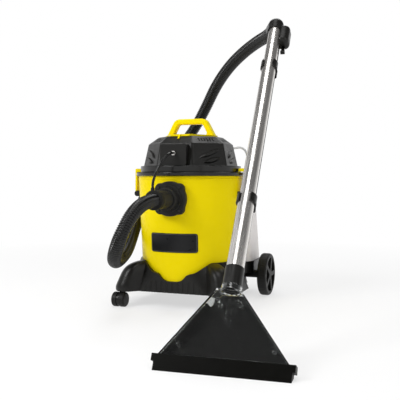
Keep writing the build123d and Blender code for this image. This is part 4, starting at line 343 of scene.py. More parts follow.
@dataclass(frozen=True)
class SeeThrough:
    """A clear or milky plastic that lets light through."""

    name: str
    colour: Colour
    roughness: float
    clarity: float
    ripple: float = 0.03
    wave_grain: float = 22.0
    wave_shade: float = 0.97
    wave_depth: float = 0.001
    haze_grain: float = 90.0
    gloss_shares: Span = (0.7, 1.3)
    refraction: float = 1.45
    edge: float = 0.0012

    def build(self) -> bpy.types.Material:
        """Make the node material of this plastic.

        Returns:
            The material.
        """
        sheet = NodeSheet(self.name)
        wave = sheet.noise(sheet.coords(), self.wave_grain, detail=2.0)
        haze = sheet.noise(sheet.coords(), self.haze_grain, detail=4.0)
        sheet.feed(sheet.shades(wave, shade(self.colour, self.wave_shade), self.colour), "Base Color")
        sheet.vary_gloss(haze, self.roughness, self.gloss_shares)
        sheet.set("IOR", self.refraction)
        sheet.set("Transmission Weight", self.clarity)
        normal, _ = sheet.edges(self.edge)
        sheet.relief(wave, self.wave_depth, self.ripple, normal)
        return sheet.material


# How the wand's axis lies in the part's frame, so that its drawn lines run along the tubes.
WAND_LEAN = (math.radians(-37.5), 0.0, math.radians(-3.0))


class Finishes(Enum):
    """Every finish on the machine."""

    YELLOW = MouldedPlastic(
        "yellow_gloss",
        colour=(0.87, 0.69, 0.002),
        roughness=0.28,
        shine=0.04,
        grain=700.0,
        relief=0.08,
        mottle=0.025,
        wear=0.0,
    )
    BLACK = MouldedPlastic(
        "black_satin",
        colour=(0.0075, 0.0072, 0.0062),
        roughness=0.32,
        shine=0.26,
        grain=1100.0,
        relief=0.3,
        mottle=0.12,
    )
    MATTE = MouldedPlastic(
        "black_matte",
        colour=(0.024, 0.0235, 0.022),
        roughness=0.4,
        shine=0.1,
        grain=1100.0,
        relief=0.3,
        mottle=0.12,
    )
    BLACK_GLOSS = MouldedPlastic(
        "black_gloss",
        colour=(0.0055, 0.0054, 0.0048),
        roughness=0.2,
        shine=0.4,
        grain=900.0,
        relief=0.1,
        mottle=0.1,
    )
    WHEEL = MouldedPlastic(
        "wheel_black",
        colour=(0.006, 0.006, 0.0052),
        roughness=0.5,
        shine=0.25,
        grain=800.0,
        relief=0.35,
        mottle=0.15,
    )
    HOSE = MouldedPlastic(
        "hose_black",
        colour=(0.0045, 0.0045, 0.0038),
        roughness=0.13,
        shine=0.34,
        grain=1400.0,
        relief=0.1,
        mottle=0.1,
        edge=0.0004,
    )
    LIP = MouldedPlastic(
        "lip_black",
        colour=(0.0022, 0.0022, 0.0016),
        roughness=0.42,
        shine=0.08,
        grain=900.0,
        relief=0.3,
        mottle=0.15,
    )
    GREY = MouldedPlastic(
        "grey_plastic",
        colour=(0.18, 0.185, 0.19),
        roughness=0.4,
        shine=0.4,
        worn=(0.3, 0.3, 0.3),
    )
    RED = MouldedPlastic(
        "switch_red",
        colour=(0.50, 0.012, 0.01),
        roughness=0.28,
        shine=0.4,
        worn=(0.6, 0.08, 0.06),
    )
    LABEL = MouldedPlastic(
        "label_plate",
        colour=(0.009, 0.009, 0.010),
        roughness=0.3,
        shine=0.2,
        grain=600.0,
        relief=0.05,
        mottle=0.08,
        wear=0.0,
    )
    PRINT = MouldedPlastic(
        "pale_print",
        colour=(0.55, 0.55, 0.53),
        roughness=0.45,
        shine=0.3,
        grain=800.0,
        relief=0.1,
        mottle=0.05,
        edge=0.0002,
        wear=0.0,
    )
    CHROME = BrightMetal("chrome", (0.80, 0.775, 0.745), roughness=0.24, turn=WAND_LEAN)
    STEEL = BrightMetal("steel", (0.50, 0.50, 0.49), roughness=0.25)
    BRASS = BrightMetal("brass", (0.62, 0.42, 0.16), roughness=0.2)
    CLEAR = SeeThrough("clear_plastic", (0.95, 0.97, 0.96), roughness=0.03, clarity=1.0, ripple=0.01)
    MILKY = SeeThrough("tank_plastic", (0.95, 0.91, 0.89), roughness=0.45, clarity=0.1, ripple=0.04)
    HAZY = SeeThrough("pickup_plastic", (0.86, 0.86, 0.85), roughness=0.25, clarity=0.2)


class Slot(Enum):
    """The record's material slot names."""

    YELLOW = "yellow_gloss"
    BLACK = "black_plastic"
    HOSE = "black_hose"
    CLEAR = "clear_plastic"
    LABEL = "label"
    GREY = "grey_plastic"


class Paint:
    """Keeps one built material for each finish and puts it on pieces."""

    def __init__(self) -> None:
        """Start with no material built."""
        self.built: Dict[Finishes, bpy.types.Material] = {}

    def coat(self, piece: bpy.types.Object, finish: Finishes) -> None:
        """Give a piece one finish all over.

        Args:
            piece: the piece.
            finish: its finish.
        """
        if finish not in self.built:
            self.built[finish] = finish.value.build()
        piece.data.materials.clear()
        piece.data.materials.append(self.built[finish])

    def node(self, name: str, finish: Finishes) -> None:
        """Give a carried-over solid its finish."""
        self.coat(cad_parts[name], finish)
        log.info("%s: %s", name, finish.name.lower())

    def trim(self, piece: bpy.types.Object, finish: Finishes, body: str) -> None:
        """Finish an added piece and let it ride on a body.

        Args:
            piece: the added piece.
            finish: its finish.
            body: the body that carries it.
        """
        self.coat(piece, finish)
        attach(piece, body)
        log.info("%s: %s", piece.name, finish.name.lower())


class Moulding:
    """Collects skins between loops of points and makes one mesh piece of them."""

    def __init__(self, name: str, smooth: bool = False) -> None:
        """Start with no face.

        Args:
            name: the piece's name.
            smooth: whether its faces are shaded as one curved surface.
        """
        self.name = name
        self.smooth = smooth
        self.sheet = bmesh.new()

    def skin(self, loops: Sequence[Sequence[Vector]], ring: bool) -> None:
        """Join each loop to the next one with faces.

        Args:
            loops: closed loops, all of as many points.
            ring: whether the last loop joins the first, or both get a cap.
        """
        made = [[self.sheet.verts.new(point) for point in loop] for loop in loops]
        following = made[1:] + made[:1] if ring else made[1:]
        for loop, after in zip(made, following):
            for side in range(len(loop)):
                beside = (side + 1) % len(loop)
                self.sheet.faces.new((loop[side], loop[beside], after[beside], after[side]))
        if not ring:
            self.sheet.faces.new(made[0])
            self.sheet.faces.new(made[-1])

    def piece(self) -> bpy.types.Object:
        """Make the mesh piece and put it in the scene.

        Returns:
            The piece.
        """
        bmesh.ops.recalc_face_normals(self.sheet, faces=self.sheet.faces)
        for face in self.sheet.faces:
            face.smooth = self.smooth
        mesh = bpy.data.meshes.new(self.name)
        self.sheet.to_mesh(mesh)
        self.sheet.free()
        made = bpy.data.objects.new(self.name, mesh)
        bpy.context.scene.collection.objects.link(made)
        return made


class Lay(Enum):
    """How a hose lies: hanging or loose."""

    HANGING = "hanging"
    LOOSE = "loose"


class Route:
    """A hose's smooth line: a spline with the part's own route points as its control points."""

    ORDER = 3
    STEPS_BETWEEN_POINTS = 24
    HEADING_STEP = 0.003

    def __init__(self, name: str, points: Sequence[Vector]) -> None:
        """Draw the spline and read its points.

        Args:
            name: the hose's name.
            points: control points in metres.
        """
        curve = bpy.data.curves.new(name + "_route", "CURVE")
        curve.dimensions = "3D"
        curve.resolution_u = self.STEPS_BETWEEN_POINTS
        spline = curve.splines.new("NURBS")
        spline.points.add(len(points) - 1)
        for control, point in zip(spline.points, points):
            control.co = (*point, 1.0)
        spline.order_u = self.ORDER
        spline.use_endpoint_u = True
        drawn = bpy.data.objects.new(name + "_route", curve)
        mesh = bpy.data.meshes.new_from_object(drawn)
        self.points = [vertex.co.copy() for vertex in mesh.vertices]
        bpy.data.meshes.remove(mesh)
        bpy.data.objects.remove(drawn)
        bpy.data.curves.remove(curve)
        self.along = [0.0]
        for before, after in zip(self.points, self.points[1:]):
            self.along.append(self.along[-1] + (after - before).length)

    @property
    def length(self) -> float:
        """Length of the line in metres."""
        return self.along[-1]

    def at(self, distance: float) -> Vector:
        """Point at a distance from the start.

        Args:
            distance: how far along the line, held to its ends.

        Returns:
            The point.
        """
        distance = min(max(distance, 0.0), self.length)
        low, high = 0, len(self.along) - 1
        while high - low > 1:
            middle = (low + high) // 2
            if self.along[middle] <= distance:
                low = middle
            else:
                high = middle
        share = (distance - self.along[low]) / (self.along[high] - self.along[low])
        return self.points[low].lerp(self.points[high], share)

    def heading(self, distance: float) -> Vector:
        """Direction of the line at a distance from the start.

        Args:
            distance: how far along the line.

        Returns:
            A vector of length 1.
        """
        before = self.at(distance - self.HEADING_STEP)
        after = self.at(distance + self.HEADING_STEP)
        return (after - before).normalized()

    def even(self, steps: int, radius: float) -> List[Span]:
        """Stations of one radius, evenly spaced along the whole line."""
        return [(self.length * step / steps, radius) for step in range(steps + 1)]

    def tube(
        self,
        name: str,
        sides: int,
        outer: Sequence[Span],
        bore: Sequence[Span],
    ) -> bpy.types.Object:
        """Make a tube round the line: its outside, its bore and a flat face at each end.

        Args:
            name: the tube's name.
            sides: how many sides each ring has.
            outer: distance and radius of the outside's rings, from the start on.
            bore: distance and radius of the bore's rings, from the start on.

        Returns:
            The tube, in the scene.
        """
        tube = Moulding(name, smooth=True)
        tube.skin(self.rings(outer, sides) + self.rings(bore, sides)[::-1], ring=True)
        return tube.piece()

    def rings(self, stations: Sequence[Span], sides: int) -> List[List[Vector]]:
        """Place rings along the line without twist.

        Args:
            stations: distance along the line and radius of each ring.
            sides: how many sides each ring has.

        Returns:
            The rings' points.
        """
        turns = [FULL_TURN * side / sides for side in range(sides)]
        across = X_AXIS
        placed = []
        for distance, radius in stations:
            ahead = self.heading(distance)
            across = (across - ahead * across.dot(ahead)).normalized()
            aside = ahead.cross(across)
            centre = self.at(distance)
            outward = [across * math.cos(turn) + aside * math.sin(turn) for turn in turns]
            placed.append([centre + way * radius for way in outward])
        return placed


@dataclass
class SuctionHose:
    """The ribbed suction hose from the cuff round behind the machine to the wand, and the line in it.

    The route's points are in millimetres and the other lengths in metres. A rib's shape is a list of
    shares: how far along the rib, and how deep below its crest.
    """

    points: List[Point] = field(
        default_factory=lambda: [
            (0, -262, 319.5),
            (0, -330, 319.5),
            (-9, -393, 292),
            (-30, -418, 236),
            (-58, -398, 186),
            (-90, -340, 156),
            (-118, -258, 148),
            (-140, -165, 162),
            (-166, -75, 198),
            (-186, 8, 250),
            (-196, 80, 318),
            (-180, 140, 392),
            (-132, 184, 460),
            (-76, 208, 530),
            (-28, 206, 608),
            (20, 186, 688),
            (78, 148, 742),
            (138, 106, 776),
            (196, 62, 797),
            (256.95, -22.0, 797.08),
            (285.04, -91.53, 797.08),
        ]
    )
    radius: float = 0.019
    rib_depth: float = 0.0020
    ribs: int = 276
    plain_end: float = 0.020
    bore: float = 0.0155
    sides: int = 36
    bore_steps: int = 240
    line_radius: float = 0.004
    line_bore: float = 0.0025
    line_sides: int = 12
    cuff_mouth: Point = (0.0, -0.285, 0.3195)
    bend_from: Point = (0.0347, 0.0058, 0.0058)
    bend_to: Point = (0.3442, 0.0574, 0.0574)
    rib_shape: Tuple[Span, ...] = (
        (0.0, 1.0),
        (0.14, 0.55),
        (0.24, 0.12),
        (0.36, 0.0),
        (0.5, 0.0),
        (0.62, 0.12),
        (0.72, 0.55),
        (0.86, 1.0),
    )

    def build(self, paint: Paint) -> None:
        """Make the hose and the line in it.

        Args:
            paint: the finishes.
        """
        route = Route("suction_hose", metres(self.points))
        pitch = (route.length - 2 * self.plain_end) / self.ribs
        outer = [(0.0, self.radius - self.rib_depth)]
        for rib in range(self.ribs):
            for share, depth in self.rib_shape:
                outer.append((self.plain_end + (rib + share) * pitch, self.radius - depth * self.rib_depth))
        outer.append((route.length, self.radius - self.rib_depth))
        hose = route.tube("ribbed_hose", self.sides, outer, route.even(self.bore_steps, self.bore))
        self.lay(paint, hose, route, "suction_hose")
        skin, bore = (route.even(self.bore_steps, radius) for radius in (self.line_radius, self.line_bore))
        line = route.tube("inner_solution_line", self.line_sides, skin, bore)
        self.lay(paint, line, route, "solution_line")

    def lay(
        self, paint: Paint, piece: bpy.types.Object, route: Route, node: str
    ) -> None:
        """Finish a hose in place of the solid that it stands for.

        Args:
            paint: the finishes.
            piece: the hose.
            route: the line that it follows.
            node: the solid that it stands for.
        """
        paint.coat(piece, Finishes.HOSE)
        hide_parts(node)
        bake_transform(piece)
        log.info("%s: %.3f m", piece.name, route.length)


@dataclass
class ThinHose:
    """A plain thin hose that rides on the motor head, with its route's points in millimetres."""

    name: str
    points: List[Point]
    radius: float
    bore: float
    finish: Finishes
    slot: Slot
    node: str
    sides: int = 20
    steps: int = 90

    def build(self, paint: Paint) -> None:
        """Make the hose in place of its solid.

        Args:
            paint: the finishes.
        """
        route = Route(self.name, metres(self.points))
        outer, bore = (route.even(self.steps, radius) for radius in (self.radius, self.bore))
        hose = route.tube(self.name, self.sides, outer, bore)
        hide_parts(self.node)
        paint.trim(hose, self.finish, "head")
        log.info("%s: %.3f m", self.name, route.length)


@dataclass
class LinkHose(ThinHose):
    """The solution hose from the head's front to the port on the cuff."""

    name: str = "solution_link_hose"
    points: List[Point] = field(
        default_factory=lambda: [
            (3, -152, 451),
            (3, -176, 451),
            (-6, -198, 436),
            (-17, -210, 410),
            (-28, -215, 383),
            (-33, -216, 364),
            (-33, -216, 351.9),
        ]
    )
    radius: float = 0.00375
    bore: float = 0.0025
    finish: Finishes = Finishes.HOSE
    slot: Slot = Slot.HOSE
    node: str = "link_hose"


@dataclass
class PickupTube(ThinHose):
    """The clear tube from the back of the head into the tank."""

    name: str = "clear_pickup_tube"
    points: List[Point] = field(
        default_factory=lambda: [
            (89, 89, 468),
            (108, 107, 475),
            (130, 128, 477),
            (139, 155, 455),
            (131, 177, 413),
            (112, 190, 352),
            (112, 190, 308),
        ]
    )
    radius: float = 0.0035
    bore: float = 0.0025
    finish: Finishes = Finishes.HAZY
    slot: Slot = Slot.CLEAR
    node: str = "pickup_tube"


@dataclass
class SubAssembly:
    """Solids that belong together, each with its finish, and the trim added to them."""

    title: str
    solids: Dict[str, Finishes]

    def build(self, paint: Paint) -> None:
        """Finish every solid and add the trim.

        Args:
            paint: the finishes.
        """
        log.info("%s", self.title)
        for node, finish in self.solids.items():
            paint.node(node, finish)
        self.add_trim(paint)

    def add_trim(self, paint: Paint) -> None:
        """Add nothing: a plain sub-assembly has no trim."""


@dataclass
class TubAndInlet(SubAssembly):
    """The tub with its band, latches, label and suction inlet."""

    title: str = "tub and inlet"
    solids: Dict[str, Finishes] = field(
        default_factory=lambda: {
            "tub": Finishes.YELLOW,
            "rim_band": Finishes.BLACK_GLOSS,
            "label_plate": Finishes.LABEL,
            "latch_brackets": Finishes.BLACK,
            "latch_left": Finishes.YELLOW,
            "latch_right": Finishes.YELLOW,
            "inlet_flange": Finishes.MATTE,
            "inlet_screws": Finishes.BLACK_GLOSS,
            "lock_ring": Finishes.MATTE,
            "hose_cuff": Finishes.MATTE,
            "solution_port": Finishes.BLACK,
        }
    )
    rim_radius: float = 0.161
    foot_radius: float = 0.1475
    rim_z: float = 0.385
    foot_z: float = 0.066
    label_face: float = 0.00105
    label_corner: float = 0.007
    line_inset: float = 0.0028
    line_width: float = 0.0006
    line_rise: float = 0.0003
    line_steps: int = 24
    corner_steps: int = 8
    bead_below: float = 0.008
    bead_half: float = 0.0014
    bead_rise: float = 0.0009
    bead_steps: int = 160
    bead_sides: int = 8

    def radius_at(self, height: float) -> float:
        """Radius of the tub's outside at a height."""
        share = (height - self.foot_z) / (self.rim_z - self.foot_z)
        return self.foot_radius + share * (self.rim_radius - self.foot_radius)

    def add_trim(self, paint: Paint) -> None:
        """Add the label's printed border and the bead under the band."""
        paint.trim(self.label_border(), Finishes.GREY, "machine")
        paint.trim(self.rim_bead(), Finishes.YELLOW, "machine")

    def on_label(self, across: float, height: float, lift: float) -> Vector:
        """Point on the label's face, lifted off it."""
        radius = self.radius_at(height) + self.label_face + lift
        return Vector((across, -math.sqrt(radius**2 - across**2), height))

    def label_border(self) -> bpy.types.Object:
        """Make the thin plain line round the label's face.

        Returns:
            The line as one piece.
        """
        low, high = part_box("label_plate")
        centre_z = (low.z + high.z) / 2
        corner = self.label_corner - self.line_inset
        half_x = high.x - self.label_corner
        half_z = (high.z - low.z) / 2 - self.label_corner
        path: List[Tuple[float, float, float]] = []
        for quarter, (side_x, side_z) in enumerate(((1, 1), (-1, 1), (-1, -1), (1, -1))):
            for step in range(self.corner_steps + 1):
                turn = math.radians(QUARTER * (quarter + step / self.corner_steps))
                path.append((side_x * half_x, side_z * half_z, turn))
            if side_x * side_z > 0:
                for step in range(1, self.line_steps):
                    run = side_x * half_x * (1 - 2 * step / self.line_steps)
                    path.append((run, side_z * half_z, math.radians(QUARTER * (quarter + 1))))
        border = Moulding("label_border")
        loops = []
        for across, up, turn in path:
            loop = []
            for out, lift in ((0.5, -1.0), (0.5, 1.0), (-0.5, 1.0), (-0.5, -1.0)):
                reach = corner + out * self.line_width
                x = across + reach * math.cos(turn)
                z = centre_z + up + reach * math.sin(turn)
                loop.append(self.on_label(x, z, lift * self.line_rise))
            loops.append(loop)
        border.skin(loops, ring=True)
        return border.piece()

    def rim_bead(self) -> bpy.types.Object:
        """Make the bead round the tub just under the band.

        Returns:
            The bead.
        """
        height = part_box("rim_band")[0].z - self.bead_below
        radius = self.radius_at(height)
        loops = []
        for step in range(self.bead_steps):
            turn = FULL_TURN * step / self.bead_steps
            loop = []
            for part in range(self.bead_sides):
                bend = FULL_TURN * part / self.bead_sides
                reach = radius + self.bead_rise * math.cos(bend)
                rise = height + self.bead_half * math.sin(bend)
                loop.append(Vector((reach * math.cos(turn), reach * math.sin(turn), rise)))
            loops.append(loop)
        bead = Moulding("tub_rim_bead", smooth=True)
        bead.skin(loops, ring=True)
        return bead.piece()


@dataclass
class ChassisAndWheels(SubAssembly):
    """The chassis on its rear wheels and front casters."""

    title: str = "chassis and wheels"
    solids: Dict[str, Finishes] = field(
        default_factory=lambda: {
            "chassis": Finishes.BLACK,
            "rear_axle": Finishes.STEEL,
            "rear_wheel_left": Finishes.WHEEL,
            "rear_wheel_right": Finishes.WHEEL,
            "caster_fork_left": Finishes.BLACK,
            "caster_fork_right": Finishes.BLACK,
            "caster_wheels_left": Finishes.WHEEL,
            "caster_wheels_right": Finishes.WHEEL,
        }
    )
    tread_from: float = 0.1922
    tread_to: float = 0.2098
    ridges: int = 54
    ridge_half: float = 0.0020
    ridge_top_half: float = 0.0014
    ridge_rise: float = 0.0005
    ridge_root: float = 0.0006

    def add_trim(self, paint: Paint) -> None:
        """Add the ridges on the tread of each rear wheel.

        Args:
            paint: the finishes.
        """
        for name, side in (("left", -1), ("right", 1)):
            body = f"rear_wheel_{name}"
            paint.trim(self.tread(body, side), Finishes.WHEEL, body)

    def tread(self, wheel: str, side: int) -> bpy.types.Object:
        """Make a wheel's ridges, each across the tread.

        Args:
            wheel: the wheel's solid.
            side: 1 on the machine's right and -1 on its left.

        Returns:
            The ridges as one piece.
        """
        low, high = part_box(wheel)
        centre = (low + high) / 2
        radius = (high.z - low.z) / 2
        tread = Moulding(f"{wheel}_tread")
        profile = (
            (-self.ridge_half, -self.ridge_root),
            (-self.ridge_top_half, self.ridge_rise),
            (self.ridge_top_half, self.ridge_rise),
            (self.ridge_half, -self.ridge_root),
        )
        for ridge in range(self.ridges):
            turn = FULL_TURN * ridge / self.ridges
            out = Vector((0.0, math.cos(turn), math.sin(turn)))
            along = Vector((0.0, -math.sin(turn), math.cos(turn)))
            loops = []
            for reach in (self.tread_from, self.tread_to):
                hub = Vector((side * reach, centre.y, centre.z))
                loops.append([hub + out * (radius + rise) + along * aside for aside, rise in profile])
            tread.skin(loops, ring=False)
        return tread.piece()


class Mark(Enum):
    """What stands on each half of a rocker switch."""

    ON = "on"
    OFF = "off"


@dataclass
class MotorHead(SubAssembly):
    """The motor head with its handle, switches, motor, fan, float and pump."""

    title: str = "motor head"
    solids: Dict[str, Finishes] = field(
        default_factory=lambda: {
            "head_base": Finishes.BLACK_GLOSS,
            "head_seal": Finishes.LIP,
            "head_cover": Finishes.BLACK,
            "front_panel": Finishes.BLACK,
            "carry_handle": Finishes.YELLOW,
            "head_screws": Finishes.BLACK_GLOSS,
            "motor_can": Finishes.STEEL,
            "fan_housing": Finishes.STEEL,
            "motor_rotor": Finishes.STEEL,
            "suction_fan": Finishes.STEEL,
            "float_cage": Finishes.GREY,
            "float": Finishes.GREY,
            "solution_pump": Finishes.GREY,
            "hose_nipple": Finishes.CHROME,
            "link_connector": Finishes.BLACK,
            "dip_tube": Finishes.GREY,
            "cable_gland": Finishes.BLACK,
            "vacuum_switch": Finishes.RED,
            "pump_switch": Finishes.RED,
        }
    )
    mark_reach: float = 0.0068
    mark_half: float = 0.0026
    stroke: float = 0.0008
    mark_rise: float = 0.00015
    mark_steps: int = 32
    look_from: float = 0.05

    def add_trim(self, paint: Paint) -> None:
        """Add the on and off marks to both rocker switches.

        Args:
            paint: the finishes.
        """
        for switch in ("vacuum_switch", "pump_switch"):
            for kind, side in ((Mark.ON, -1), (Mark.OFF, 1)):
                paint.trim(self.mark(switch, kind, side), Finishes.PRINT, switch)

    def mark(self, switch: str, kind: Mark, side: int) -> bpy.types.Object:
        """Make a bar or a ring on one half of a rocker.

        Args:
            switch: the rocker's solid.
            kind: on for a bar, off for a ring.
            side: which half it lies on, along Y.

        Returns:
            The mark, seated on the rocker.
        """
        low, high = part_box(switch)
        above = (low + high) / 2
        above.y += side * self.mark_reach
        above.z = high.z + self.look_from
        _, centre, normal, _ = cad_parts[switch].ray_cast(above, DOWN)
        across = X_AXIS
        along = normal.cross(across)
        rise = normal * self.mark_rise
        mark = Moulding(f"{switch}_{kind.value}_mark")
        if kind is Mark.ON:
            corners = ((-1, -1), (1, -1), (1, 1), (-1, 1))
            flat = [across * (x * self.stroke / 2) + along * (y * self.mark_half) for x, y in corners]
            mark.skin([[centre + point + rise * way for point in flat] for way in (-1, 1)], ring=False)
        else:
            loops = []
            rims = (self.mark_half, self.mark_half - self.stroke)
            for step in range(self.mark_steps):
                turn = FULL_TURN * step / self.mark_steps
                out = across * math.cos(turn) + along * math.sin(turn)
                outer, inner = (centre + out * rim for rim in rims)
                loops.append([outer - rise, outer + rise, inner + rise, inner - rise])
            mark.skin(loops, ring=True)
        return mark.piece()


@dataclass
class CleanWaterTank(SubAssembly):
    """The clean-water tank and its cap."""

    title: str = "clean-water tank"
    solids: Dict[str, Finishes] = field(
        default_factory=lambda: {
            "tank": Finishes.MILKY,
            "tank_cap": Finishes.BLACK,
        }
    )


@dataclass
class WandAndNozzle(SubAssembly):
    """The wand with its tubes, spray valve and nozzle."""

    title: str = "wand and nozzle"
    solids: Dict[str, Finishes] = field(
        default_factory=lambda: {
            "lower_tube": Finishes.CHROME,
            "main_tube": Finishes.CHROME,
            "upper_tube": Finishes.CHROME,
            "tube_clips": Finishes.BLACK,
            "wand_spray_line": Finishes.HOSE,
            "wand_collar": Finishes.BLACK,
            "wand_elbow": Finishes.BLACK,
            "valve_housing": Finishes.BLACK,
            "trigger": Finishes.BLACK,
            "trigger_pin": Finishes.STEEL,
            "nozzle_cover": Finishes.CLEAR,
            "nozzle_back": Finishes.BLACK_GLOSS,
            "nozzle_lip": Finishes.LIP,
            "nozzle_screws": Finishes.STEEL,
            "spray_jet": Finishes.BRASS,
        }
    )


@dataclass(frozen=True)
class Lamp:
    """A soft rectangular lamp that looks at a point."""

    name: str
    place: Point
    target: Point
    width: float
    height: float
    power: float

    def hang(self) -> None:
        """Put the lamp in the scene."""
        data = bpy.data.lights.new(self.name, "AREA")
        data.shape = "RECTANGLE"
        data.size = self.width
        data.size_y = self.height
        data.energy = self.power
        lamp = bpy.data.objects.new(self.name, data)
        lamp.location = self.place
        look = Vector(self.target) - Vector(self.place)
        lamp.rotation_euler = look.to_track_quat("-Z", "Y").to_euler()
        bpy.context.scene.collection.objects.link(lamp)


@dataclass
class Studio:
    """Pale floor, soft lamps, a white surround and the camera.

    Lamp powers are in watts, angles in degrees, and the lens and the sensor in millimetres. The
    surround's spans are cosines of a direction with the backdrop's, or heights of a direction.
    """

    lamps: Tuple[Lamp, ...] = (
        Lamp("key", (-1.7, -2.4, 2.2), (0.0, -0.1, 0.35), width=1.1, height=1.1, power=57.0),
        Lamp("overhead", (0.22, -1.0, 2.4), (0.22, -1.0, 0.0), width=0.95, height=1.5, power=16.5),
        Lamp("side", (-3.0, -0.6, 2.3), (0.2, -0.4, 0.45), width=2.4, height=2.0, power=6.0),
        Lamp("fill", (2.6, -1.8, 1.6), (0.1, -0.2, 0.35), width=1.4, height=1.4, power=14.0),
        Lamp("rim", (-0.2, 1.7, 2.9), (0.0, 0.0, 0.45), width=2.0, height=1.5, power=30.0),
    )
    floor_half: float = 40.0
    floor_shade: float = 0.86
    floor_roughness: float = 0.8
    floor_shine: float = 0.1
    near_white: float = 0.62
    white_span: Span = (0.7, 1.9)
    sky_light: float = 0.45
    backdrop_faces: Point = (-0.342, 0.94, 0.0)
    backdrop_span: Span = (0.35, 0.8)
    horizon_span: Span = (0.05, 0.20)
    ceiling_span: Span = (0.27, 0.48)
    room_light: float = 0.5
    ceiling_light: float = 0.17
    camera_place: Point = (0.7063, -1.8585, 0.385)
    camera_turn: float = 20.0
    camera_tilt: float = 2.15
    lens: float = 57.6
    sensor: float = 36.0

    def build(self) -> None:
        """Set up the whole studio."""
        self.lay_floor()
        for lamp in self.lamps:
            lamp.hang()
        self.light_world()
        self.place_camera()
        bpy.context.scene.view_settings.view_transform = "Standard"

    def seen(self, tree: bpy.types.NodeTree) -> Socket:
        """Tell the rays that show the background: from the camera, from gloss and through glass.

        Args:
            tree: the node tree that needs it.

        Returns:
            A value of 1 for such rays and 0 for others.
        """
        path = tree.nodes.new("ShaderNodeLightPath")
        found = path.outputs["Is Camera Ray"]
        for kind in ("Is Glossy Ray", "Is Transmission Ray"):
            either = tree.nodes.new("ShaderNodeMath")
            either.operation = "MAXIMUM"
            tree.links.new(found, either.inputs[0])
            tree.links.new(path.outputs[kind], either.inputs[1])
            found = either.outputs["Value"]
        return found

    def lay_floor(self) -> None:
        """Lay a pale floor that keeps the shadow and turns to plain white further out."""
        half = self.floor_half
        mesh = bpy.data.meshes.new("floor")
        corners = [(-half, -half, 0), (half, -half, 0), (half, half, 0), (-half, half, 0)]
        mesh.from_pydata(corners, [], [(0, 1, 2, 3)])
        floor = bpy.data.objects.new("floor", mesh)
        bpy.context.scene.collection.objects.link(floor)
        sheet = NodeSheet("pale_floor")
        sheet.set("Base Color", (self.floor_shade, self.floor_shade, self.floor_shade, 1.0))
        sheet.set("Roughness", self.floor_roughness)
        sheet.set("Specular IOR Level", self.floor_shine)
        away = sheet.add("VectorMath")
        away.operation = "LENGTH"
        sheet.join(sheet.coords(), away.inputs[0])
        fade = sheet.spread(away.outputs["Value"], self.white_span, (self.near_white, 1.0))
        share = sheet.add("Math")
        share.operation = "MULTIPLY"
        sheet.join(fade, share.inputs[0])
        sheet.join(self.seen(sheet.tree), share.inputs[1])
        white = sheet.add("Emission")
        mix = sheet.add("MixShader")
        sheet.join(share.outputs["Value"], mix.inputs[0])
        sheet.join(sheet.shader.outputs["BSDF"], mix.inputs[1])
        sheet.join(white.outputs["Emission"], mix.inputs[2])
        sheet.join(mix.outputs["Shader"], sheet.output.inputs["Surface"])
        mesh.materials.append(sheet.material)

    def light_world(self) -> None:
        """Surround the scene with soft light: a white backdrop and horizon, a dimmer room and ceiling."""
        world = bpy.data.worlds.new("surround")
        bpy.context.scene.world = world
        world.use_nodes = True
        tree = world.node_tree
        tree.nodes.clear()
        coords = tree.nodes.new("ShaderNodeTexCoord").outputs["Generated"]
        split = tree.nodes.new("ShaderNodeSeparateXYZ")
        tree.links.new(coords, split.inputs["Vector"])
        height = split.outputs["Z"]
        ahead = tree.nodes.new("ShaderNodeVectorMath")
        ahead.operation = "DOT_PRODUCT"
        ahead.inputs[1].default_value = self.backdrop_faces
        tree.links.new(coords, ahead.inputs[0])
        backdrop = self.rise(tree, ahead.outputs["Value"], self.backdrop_span, (self.room_light, 1.0))
        horizon = self.rise(tree, height, self.horizon_span, (1.0, self.room_light))
        wall = tree.nodes.new("ShaderNodeMath")
        wall.operation = "MAXIMUM"
        tree.links.new(backdrop.outputs["Result"], wall.inputs[0])
        tree.links.new(horizon.outputs["Result"], wall.inputs[1])
        room = self.rise(tree, height, self.ceiling_span, (1.0, self.ceiling_light))
        tree.links.new(wall.outputs["Value"], room.inputs["To Min"])
        strength = tree.nodes.new("ShaderNodeMapRange")
        strength.inputs["To Min"].default_value = self.sky_light
        tree.links.new(self.seen(tree), strength.inputs["Value"])
        tree.links.new(room.outputs["Result"], strength.inputs["To Max"])
        background = tree.nodes.new("ShaderNodeBackground")
        background.inputs["Color"].default_value = WHITE
        tree.links.new(strength.outputs["Result"], background.inputs["Strength"])
        output = tree.nodes.new("ShaderNodeOutputWorld")
        tree.links.new(background.outputs["Background"], output.inputs["Surface"])

    def rise(self, tree: bpy.types.NodeTree, value: Socket, span: Span, result: Span) -> bpy.types.Node:
        """Add a soft step between two values.

        Args:
            tree: the world's node tree.
            value: what the step follows.
            span: where the step starts and ends.
            result: the two values.

        Returns:
            The step's node.
        """
        step = tree.nodes.new("ShaderNodeMapRange")
        step.interpolation_type = "SMOOTHSTEP"
        step.inputs["From Min"].default_value = span[0]
        step.inputs["From Max"].default_value = span[1]
        step.inputs["To Min"].default_value = result[0]
        step.inputs["To Max"].default_value = result[1]
        tree.links.new(value, step.inputs["Value"])
        return step

    def place_camera(self) -> None:
        """Stand the camera where the photograph was taken from."""
        data = bpy.data.cameras.new("camera")
        data.lens = self.lens
        data.sensor_width = self.sensor
        camera = bpy.data.objects.new("camera", data)
        turn = math.radians(self.camera_turn)
        tilt = math.radians(self.camera_tilt)
        ahead = Vector((-math.sin(turn), math.cos(turn), -math.tan(tilt)))
        camera.location = self.camera_place
        camera.rotation_euler = ahead.to_track_quat("-Z", "Y").to_euler()
        bpy.context.scene.collection.objects.link(camera)
        bpy.context.scene.camera = camera


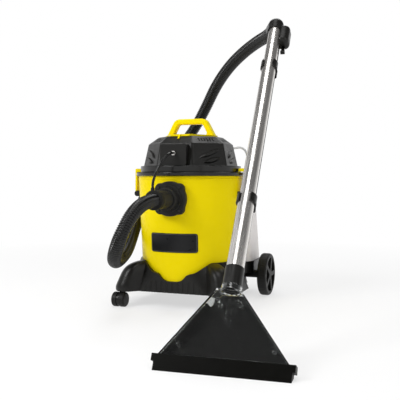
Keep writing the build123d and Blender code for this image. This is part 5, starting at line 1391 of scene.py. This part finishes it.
def main() -> None:
    """Build the studio, the hoses and the dressed sub-assemblies in order."""
    logging.basicConfig(level=logging.INFO)
    paint = Paint()
    Studio().build()
    hoses = [SuctionHose(), LinkHose(), PickupTube()]
    assemblies = [TubAndInlet(), ChassisAndWheels(), MotorHead(), CleanWaterTank(), WandAndNozzle()]
    for part in (*hoses, *assemblies):
        part.build(paint)


if __name__ == "__main__":
    main()
